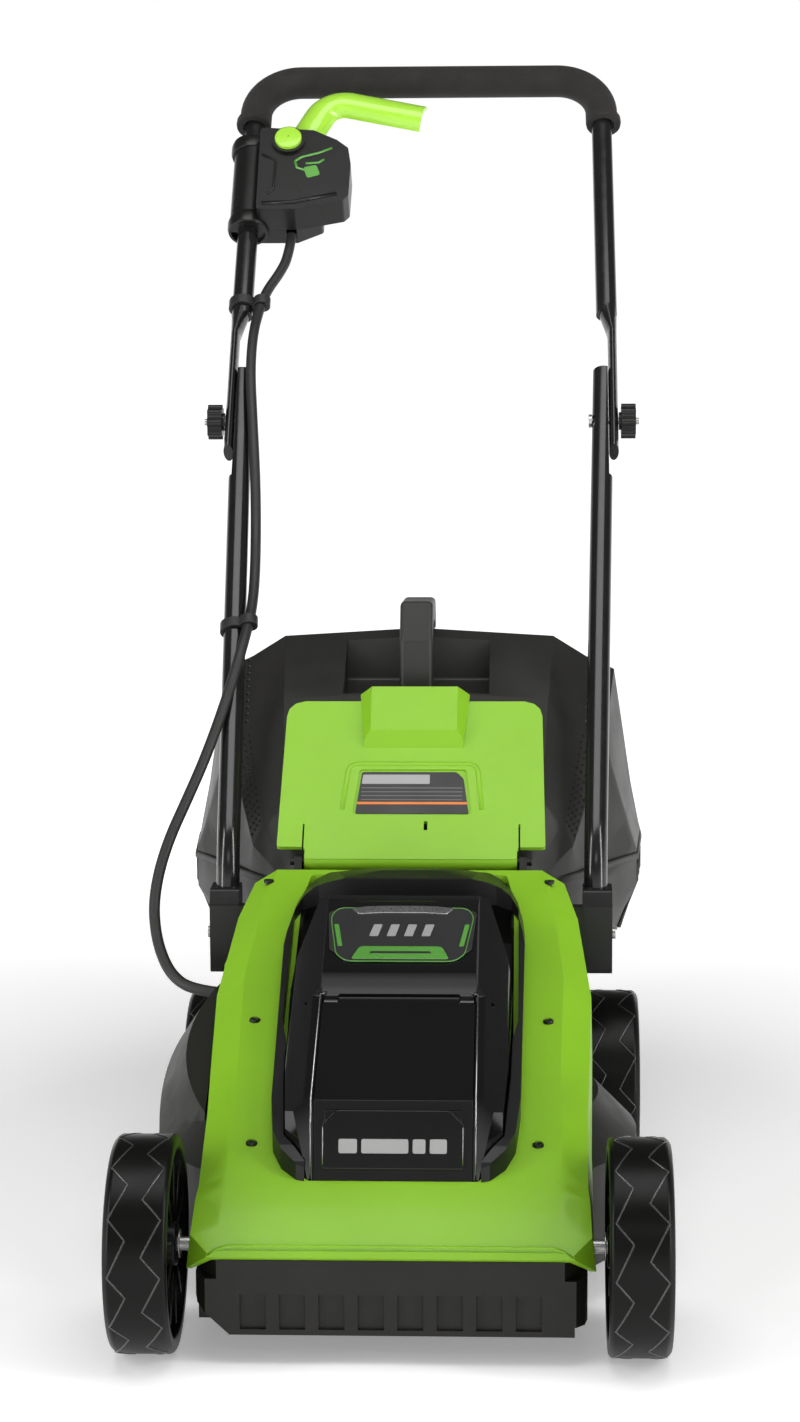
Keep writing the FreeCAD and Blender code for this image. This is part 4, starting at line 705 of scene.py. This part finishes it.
def make_catcher_details():
    """More vents down the front shoulders, drawn as near-black discs that paint the shade inside the holes, and a
    rim where the hard top meets the basket.
    """
    mesh = bmesh.new()
    (y0, a0, b0), (y1, a1, b1) = SHOULDERS
    for side in (-1, 1):
        corners = [Vector((side * x, y, z)) for y, (x, z) in ((y0, a0), (y0, b0), (y1, a1), (y1, b1))]
        down = (corners[2] - corners[0]).normalized()
        across = (corners[3] - corners[2]).normalized()
        outward = down.cross(across).normalized()
        if outward.z < 0:
            outward = -outward
        level = outward.cross(down).normalized()
        for row in range(VENT_ROWS):
            share = 0.05 + row * 0.068
            near = corners[0].lerp(corners[2], share)
            far = corners[1].lerp(corners[3], share)
            for column in range(VENT_COLUMNS):
                middle = near.lerp(far, 0.14 + column * 0.24) + outward * 0.35
                ring = []
                for step in range(VENT_SIDES):
                    angle = 2 * math.pi * step / VENT_SIDES
                    spot = middle + (down * math.cos(angle) + level * math.sin(angle)) * VENT_RADIUS
                    ring.append(mesh.verts.new(spot * MM))
                mesh.faces.new(ring)
    data = bpy.data.meshes.new("front_vent_shade_discs")
    mesh.to_mesh(data)
    # Each vent is a flat near-black disc on the shoulder, painted shade where a hole would be
    vents = add_piece("front_vent_shade_discs", data, look["vent_painted_shade"], "catcher")
    thickness = vents.modifiers.new("thickness", "SOLIDIFY")
    thickness.thickness = 0.0003
    rim_line = [(110.5, -46), (136, -14), (187.4, 70), (193.2, 160), (192, 260), (182.4, 329)]
    rims = []
    for side in (-1, 1):
        rims.append([(Vector((side * x, y, RIM_HEIGHT)) * MM, Vector((side, 0, 0))) for x, y in rim_line])
    ridges("catcher_rim", rims, 7.0, 1.8, look["bag_black"], "catcher")
    ribs = []
    for side in (-1, 1):
        for y, x_high, x_low, z_low in ((85, 188, 172, 187), (115, 190, 174, 180), (145, 192, 175, 173),
                                        (175, 193, 174, 168), (205, 192.6, 173.5, 168),
                                        (235, 192.2, 173, 168)):
            ribs.append([(Vector((side * x, y, z)) * MM, Vector((side, 0, 0)))
                         for x, z in ((x_high, 246), (x_high, 228), (x_low, z_low))])
    ridges("catcher_ribs", ribs, 5.0, 1.6, look["bag_black"], "catcher")


# ---------------------------------------------------------------- switch box and grip


LEG_AXIS = HANDLE_TILT @ Vector((0, 1, 0))
BOX_FACE = 30.5
BUTTON_TOP = 36.9


def make_box_details():
    """A plain green mark, ridges and collars on the switch box, and the button's rounded top."""
    ridges("box_ridge", [on_surface(
        [(-153, -118), (-142, -124), (-140, -128), (-141, -160), (-146, -166)], on_handle, BOX_FACE)],
           2.6, 1.2, look["box_black"], "handle")
    ridges("box_step", [on_surface([(-151, -177), (-122, -176), (-82, -166)], on_handle, BOX_FACE)],
           4.0, 1.6, look["box_black"], "handle")
    for along, across, hand in ((-88, -166, "top"), (-180, -165, "foot")):
        turned(f"box_collar_{hand}", [(16, -7), (18.4, -7), (19.4, -4), (19.4, 3), (18.2, 7), (16, 7)],
               on_handle(across, along), LEG_AXIS, look["box_black"], "handle")
    turned("button_crown", [(1.2, -0.3), (12.4, -0.3), (12.4, 0.2), (11.7, 0.9), (10.2, 1.2), (1.2, 1.4)],
           on_handle(-129, -102, BUTTON_TOP), HANDLE_TILT @ Vector((0, 0, 1)), look["lever_green"],
           "button")
    marks = [
        [(-122, -126), (-116, -121), (-100, -116), (-88, -110)],
        [(-122, -126), (-120, -134), (-110, -138)],
        [(-112, -129), (-100, -128), (-95, -124)],
    ]
    ridges("box_mark", [on_surface(line, on_handle, BOX_FACE) for line in marks], 2.6, 0.35,
           look["badge_green"], "handle")
    plate("box_mark_block", [(-114, -134), (-102, -131), (-98, -143), (-110, -147)], on_handle,
          BOX_FACE - 0.2, BOX_FACE + 0.4, look["badge_green"], "handle", 2.5, 0.1)


def make_grip_rings():
    """The thicker ends of the foam sleeve."""
    for side, hand in ((-1, "left"), (1, "right")):
        turned(f"foam_ring_{hand}", [(10, -3.5), (16, -3.5), (16.6, 0), (16.2, 4), (10, 4)],
               on_handle(side * 166, -53), LEG_AXIS, look["foam_black"], "handle")


make_camera()
make_studio()
make_cable()
make_wheel_details()
make_badge()
make_lid_details()
make_flap_details()
make_cable_tab()
make_cover_lip()
make_catcher_details()
make_box_details()
make_grip_rings()
